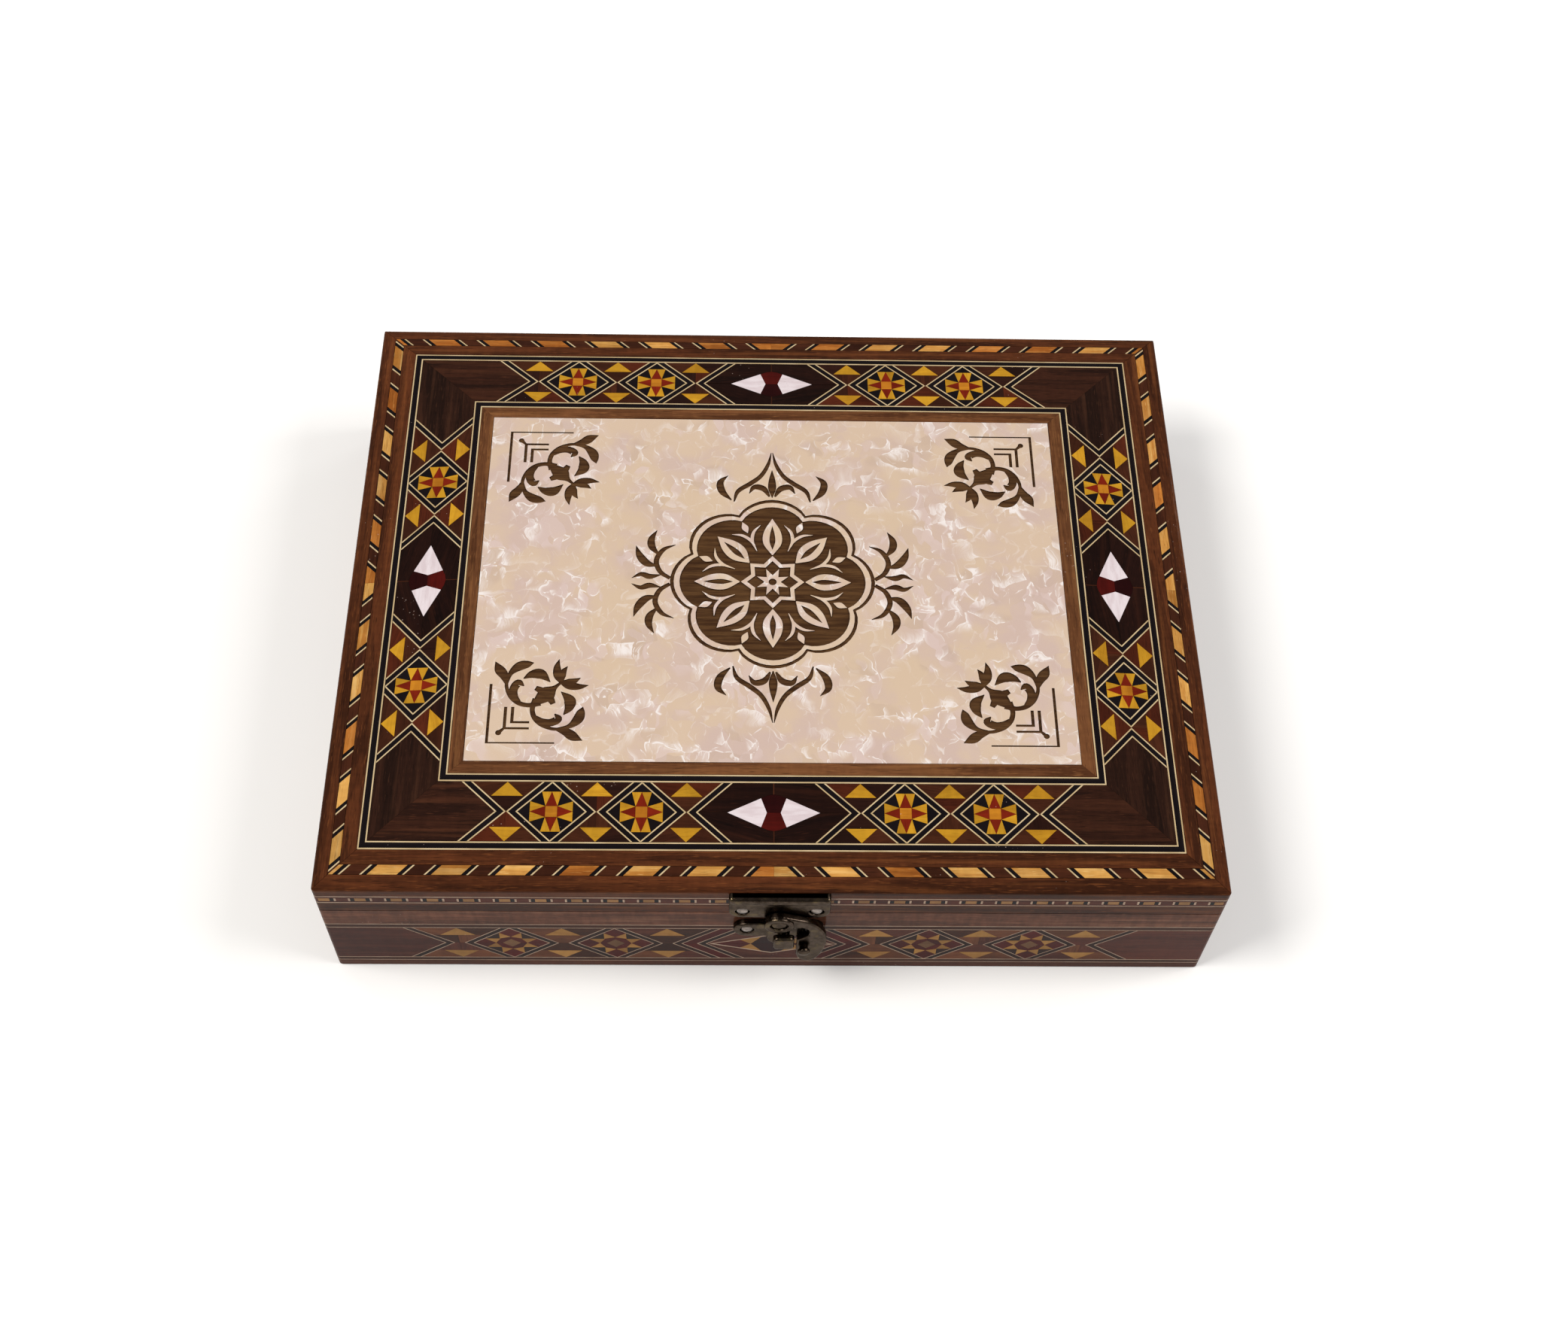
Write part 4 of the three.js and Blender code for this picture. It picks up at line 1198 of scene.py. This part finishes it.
def plate(piece, outlines, low, high, bevel, steps=4):
    """A cast plate whose front edges are rounded. The first outline is its rim and the others are holes."""
    fronts, backs = [], []
    for number, outline in enumerate(outlines):
        kept = tidied(outline)
        if (area(kept) < 0) == (number == 0):
            kept.reverse()
        levels = [(low, 0.0)]
        for step in range(steps + 1):
            angle = step / steps * math.pi / 2
            levels.append((high - bevel * (1 - math.sin(angle)), bevel * (1 - math.cos(angle))))
        points = [face_at(*p, height) for height, inset in levels for p in shrunk(kept, inset)]
        piece.add(points, ring_faces(len(levels), len(kept)), "bronze")
        fronts.append(shrunk(kept, bevel))
        backs.append(kept)
    for height, rings, order in ((high, fronts, 1), (low, backs, -1)):
        verts, owned = regions(rings)
        for triangle, owner in owned:
            if owner == 0:
                piece.add([face_at(*verts[i], height) for i in triangle[::order]], [[0, 1, 2]], "bronze")


def lathe(piece, x, y, profile, look="bronze", count=28):
    """A turned shape standing proud of the face: profile is (radius, height) from its foot to its middle."""
    turns = [math.tau * index / count for index in range(count)]
    points = [
        face_at(x + radius * math.cos(turn), y + radius * math.sin(turn), height)
        for radius, height in profile
        for turn in turns
    ]
    last = len(points) - count
    caps = [list(range(count))[::-1], list(range(last, last + count))]
    piece.add(points, ring_faces(len(profile), count) + caps, look)


def dome(radius, low, shoulder, top, steps=6):
    """A nail head's profile: a short wall, then a dome."""
    profile = [(radius, low), (radius, shoulder)]
    for step in range(1, steps + 1):
        angle = step / steps * math.pi / 2
        profile.append((max(radius * math.cos(angle), 0.05), shoulder + (top - shoulder) * math.sin(angle)))
    return profile


def rounded(x0, x1, y0, y1, lower, upper):
    """A rectangle with its lower and upper corners rounded."""
    above = arc(x1 - upper, y1 - upper, upper, 0, 90, 8) + arc(x0 + upper, y1 - upper, upper, 90, 180, 8)
    below = arc(x0 + lower, y0 + lower, lower, 180, 270, 8) + arc(x1 - lower, y0 + lower, lower, 270, 360, 8)
    return above + below


def nailed_plate(piece, rim, nail):
    """A plate with a hole for a nail on either side."""
    holes = [circle(hand * nail[0], nail[1], NAIL_HOLE) for hand in (-1, 1)]
    plate(piece, [rim] + holes, PLATE_FOOT, PLATE_PROUD, PLATE_BEVEL)


def nail_collars(piece, nail):
    """Fills the foot of each nail hole, under the nail's head."""
    radius = NAIL_HOLE + 0.1
    for hand in (-1, 1):
        lathe(piece, hand * nail[0], nail[1], [(radius, PLATE_FOOT), (radius, 0.7)])


def latch_plate():
    piece = Piece("latch_plate_cast")
    half, low, lobe, top = 13.9, 36.2, 3.7, 47.9
    tongue = 4.1
    swing = math.degrees(math.asin((low - PIVOT_Y) / tongue))
    rim = (arc(half - 1, top - 1, 1, 0, 90, 6) + arc(1 - half, top - 1, 1, 90, 180, 6)
           + arc(lobe - half, low + lobe, lobe, 180, 270, 10)
           + arc(0, PIVOT_Y, tongue, 180 - swing, 360 + swing, 28)
           + arc(half - lobe, low + lobe, lobe, 270, 360, 10))
    nailed_plate(piece, rim, UPPER_NAIL)
    roll_low, roll_proud, roll_bevel = 44.8, 2.5, 0.95
    plate(piece, [rounded(-half, half, roll_low, top, 1.4, 1.0)], PLATE_FOOT, roll_proud, roll_bevel, 6)
    nail_collars(piece, UPPER_NAIL)
    piece.make("lid", "latch_plate", CAST_ANGLE)


def catch_plate():
    piece = Piece("catch_plate_cast")
    half, middle, radius = 12.6, 28.0, 3.8
    dip, top = 4.6, 31.8
    reach = math.degrees(math.asin((PIVOT_Y - top) / dip))
    lobe_x, lobe_y, lobe = 0.6, 23.0, 3.9
    drop = math.degrees(math.asin((middle - radius - lobe_y) / lobe))
    rim = (arc(half - radius, middle, radius, -90, 90, 20) + arc(0, PIVOT_Y, dip, -reach, reach - 180, 12)
           + arc(radius - half, middle, radius, 90, 270, 20)
           + arc(lobe_x, lobe_y, lobe, 180 - drop, 360 + drop, 24))
    nailed_plate(piece, rim, LOWER_NAIL)
    nail_collars(piece, LOWER_NAIL)
    piece.make("base", "catch_plate", CAST_ANGLE)


def nails():
    for body, stem, (x, y) in (("lid", "latch_plate", UPPER_NAIL), ("base", "catch_plate", LOWER_NAIL)):
        for hand, end in ((-1, "left"), (1, "right")):
            piece = Piece(f"{stem}_dome_{end}")
            lathe(piece, hand * x, y, dome(NAIL_RADIUS, NAIL_FOOT, NAIL_SHOULDER, PLATE_PROUD), "nickel")
            piece.make(body, f"{stem}_nail_{end}", 50)


def catch_knob():
    piece = Piece("catch_knob_cast")
    x, y, width, tall, corner = 1.4, 27.3, 5.9, 6.2, 1.3
    low, high = 4.2, 6.1
    face = rounded(x - width / 2, x + width / 2, y - tall / 2, y + tall / 2, corner, corner)
    plate(piece, [face], low, high, 0.8, 6)
    lathe(piece, x, y, [(1.9, PLATE_PROUD - 0.1), (1.7, PLATE_PROUD + 0.3), (1.7, low + 0.1)])
    piece.make("base", "catch_knob", CAST_ANGLE)


def quadratic(start, control, end, count=8):
    """A curve that leaves its start towards the control point and comes to its end from there."""
    a, b, c = Vector(start), Vector(control), Vector(end)
    shares = [index / count for index in range(1, count + 1)]
    return [(1 - t) ** 2 * a + 2 * t * (1 - t) * b + t * t * c for t in shares]


def hook_outline():
    """The hook about its pivot. Its mouth follows the arc on which the catch's neck passes."""
    boss = arc(0, 0, BOSS_RADIUS, 60, 300, 30)
    throat = quadratic(boss[-1], (4.2, -2.6), (6.3, -2.2)) + quadratic((6.3, -2.2), (9.2, -3.4), (8.1, -7.4))
    mouth = arc(0, 0, 11, -42.4, -62, 10)
    back = smooth_line([(5.1, -19.6), (6.1, -22.6), (9, -23.8), (11.6, -20.8), (13.1, -15), (13.4, -9),
                        (12.2, -4.2), (8.6, 0.6), boss[0]], 7)
    return boss + throat + mouth + back[:-1]


def latch_hook():
    piece = Piece("latch_hook_cast")
    outline = [(x, y + PIVOT_Y) for x, y in hook_outline()]
    plate(piece, [outline], HOOK_LOW, HOOK_HIGH, 0.55, 5)
    recess = 2.4
    boss = [circle(0, PIVOT_Y, BOSS_RADIUS), circle(0, PIVOT_Y, recess)]
    plate(piece, boss, HOOK_LOW, BOSS_HIGH, PLATE_BEVEL)
    stud_x, stud_y = 7.2, PIVOT_Y - 14.5
    stud = [(1.2, HOOK_HIGH - 0.4), (1.2, 4.3), (1.45, 4.55), (1.7, 4.8), (1.7, 5.4), (1.6, 5.7),
            (1.25, 5.92), (0.7, 6.0), (0.05, 6.0)]
    lathe(piece, stud_x, stud_y, stud)
    piece.make("hook", "latch_hook", CAST_ANGLE)
    piece = Piece("latch_rivet_head")
    head = [(1.1, 0.2), (1.1, 3.7), (2.2, 3.7), (2.2, 3.95), (2.05, 4.15), (1.7, 4.28), (1.1, 4.3),
            (0.05, 4.3)]
    lathe(piece, 0, PIVOT_Y, head)
    piece.make("lid", "latch_rivet", CAST_ANGLE)


latch_plate()
catch_plate()
nails()
catch_knob()
latch_hook()

# ---------- the velvet linings ----------

ROLL = 1.6
ROLL_STATIONS = [0.0, 0.25, 0.6, 1.1, ROLL]
PAD_SPACING = 2.5
PAD_RIM = 0.3
PUFF = 0.86
PUFF_RANGE = 0.12
PUFF_SCALE = 0.03
PUFF_START = 8.0


def stations(span):
    """Where a pad's grid lines lie: close together at its rolled edges and even between them."""
    count = max(int(span / PAD_SPACING), 6)
    inner = [ROLL + (span - 2 * ROLL) * index / count for index in range(1, count)]
    return ROLL_STATIONS + inner + [span - value for value in reversed(ROLL_STATIONS)]


def lining(node, body, axis, facing):
    """A thin velvet-covered pad: flat at its back, rounded over at its edges and gently puffed."""
    low, high = box_mm(node)
    first, second = [k for k in range(3) if k != axis]
    us, vs = stations(high[first] - low[first]), stations(high[second] - low[second])
    thickness = high[axis] - low[axis]
    back = low[axis] if facing > 0 else high[axis]
    front, rear = [], []
    for v in vs:
        for u in us:
            edge = min(u, us[-1] - u, v, vs[-1] - v)
            rise = math.sqrt(max(1 - (1 - min(edge / ROLL, 1.0)) ** 2, 0.0))
            place = Vector((u * PUFF_SCALE, v * PUFF_SCALE, 7.0 * axis + facing))
            puff = PUFF + PUFF_RANGE * noise.noise(place) * min(edge / PUFF_START, 1.0)
            level = thickness * (PAD_RIM + (1 - PAD_RIM) * rise) * min(puff, 1.0)
            point = low.copy()
            point[first] += u
            point[second] += v
            point[axis] = back
            rear.append(point.copy())
            point[axis] = back + facing * level
            front.append(point)
    wide, tall = len(us), len(vs)
    total = wide * tall
    faces = []
    for row in range(tall - 1):
        for a in range(row * wide, row * wide + wide - 1):
            faces.append([a, a + 1, a + wide + 1, a + wide])
            faces.append([total + a, total + a + wide, total + a + wide + 1, total + a + 1])
    rim = list(range(wide)) + list(range(2 * wide - 1, total, wide))
    rim += list(range(total - 2, total - wide - 1, -1)) + list(range(total - 2 * wide, 0, -wide))
    for a, b in zip(rim, rim[1:] + rim[:1]):
        faces.append([a, a + total, b + total, b])
    if (facing > 0) == (axis == 1):
        faces = [face[::-1] for face in faces]
    piece = Piece(node + "_pad")
    piece.add(front + rear, faces, "velvet")
    piece.make(body, node, 60)


lining("floor_lining", "base", 2, 1)
lining("lid_lining", "lid", 2, -1)
for end, axis, facing in (("front", 1, 1), ("back", 1, -1), ("left", 0, 1), ("right", 0, -1)):
    lining("wall_lining_" + end, "base", axis, facing)

# ---------- the CAD's own pieces ----------

RAIL_WALNUT = ((94, 50, 27), (48, 24, 13), (124, 72, 38))
WALL_WALNUT = ((122, 76, 56), (74, 45, 34), (148, 102, 78))


def paint(node, material):
    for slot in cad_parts[node].material_slots:
        slot.material = material


for index, side in enumerate(SIDES):
    for stem, colours, curl in (("lid_rail_", RAIL_WALNUT, 0.08), ("base_wall_", WALL_WALNUT, 0.16)):
        node = stem + side.name
        paint(node, wood(node + "_walnut", *colours, 0.8, 0.7, side.turn, 70.0 * (index + 1), curl))
board = wood("bottom_board_wood", (98, 56, 40), (66, 36, 27), turn=0.0, shift=31.0)
for node in ("bottom_board", "lid_core"):
    paint(node, board)
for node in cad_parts:
    if node.startswith("hinge_"):
        paint(node, MATERIALS["nickel" if "pin" in node else "brass"])

# ---------- floor, light and camera ----------

FLOOR_REACH = 3.0
FLOOR_HEIGHT = -0.0003

mesh = bpy.data.meshes.new("studio_floor")
corners = rectangle(-FLOOR_REACH, FLOOR_REACH, -FLOOR_REACH, FLOOR_REACH)
mesh.from_pydata([(x, y, FLOOR_HEIGHT) for x, y in corners], [], [[0, 1, 2, 3]])
mesh.materials.append(MATERIALS["floor"])
floor = bpy.data.objects.new("studio_floor", mesh)
bpy.context.scene.collection.objects.link(floor)

# Soft lights that face the box: place and size in metres, power in watts, colour.
LIGHTS = {
    "key": ((-1.0, -0.25, 1.5), (0.8, 0.8), 25, (1.0, 0.97, 0.93)),
    "fill": ((1.2, -0.1, 1.2), (0.9, 0.9), 17, (1.0, 0.98, 0.96)),
    "back_left": ((-1.2, 1.0, 0.9), (0.4, 0.6), 1.8, (1.0, 1.0, 1.0)),
    "back_right": ((1.2, 1.0, 0.9), (0.4, 0.6), 2, (1.0, 1.0, 1.0)),
}
for name, (place, size, power, colour) in LIGHTS.items():
    data = bpy.data.lights.new(name, "AREA")
    data.shape = "RECTANGLE"
    data.size, data.size_y = size
    data.energy = power
    data.color = colour
    lamp = bpy.data.objects.new(name, data)
    lamp.location = place
    lamp.rotation_euler = (-Vector(place)).to_track_quat("-Z", "Y").to_euler()
    bpy.context.scene.collection.objects.link(lamp)

world = bpy.data.worlds.new("studio")
world.use_nodes = True
background = world.node_tree.nodes["Background"]
background.inputs["Color"].default_value = (1.0, 0.99, 0.98, 1.0)
background.inputs["Strength"].default_value = 0.3
bpy.context.scene.world = world
bpy.context.scene.view_settings.view_transform = "Standard"

CAMERA_PLACE = Vector((-11.95, -337.60, 536.82)) * MM
CAMERA_LOOK = Vector((0.02625, 0.53700, -0.84317)).normalized()
CAMERA_UP = Vector((-0.00773, 0.84355, 0.53700))

camera_data = bpy.data.cameras.new("camera")
camera_data.sensor_fit = "HORIZONTAL"
camera_data.sensor_width = 36.0
camera_data.lens = 45.76
camera_data.clip_start = 0.01
camera = bpy.data.objects.new("camera", camera_data)
right = CAMERA_LOOK.cross(CAMERA_UP).normalized()
up = right.cross(CAMERA_LOOK)
rotation = Matrix((right, up, -CAMERA_LOOK)).transposed()
camera.matrix_world = Matrix.Translation(CAMERA_PLACE) @ rotation.to_4x4()
bpy.context.scene.collection.objects.link(camera)
bpy.context.scene.camera = camera
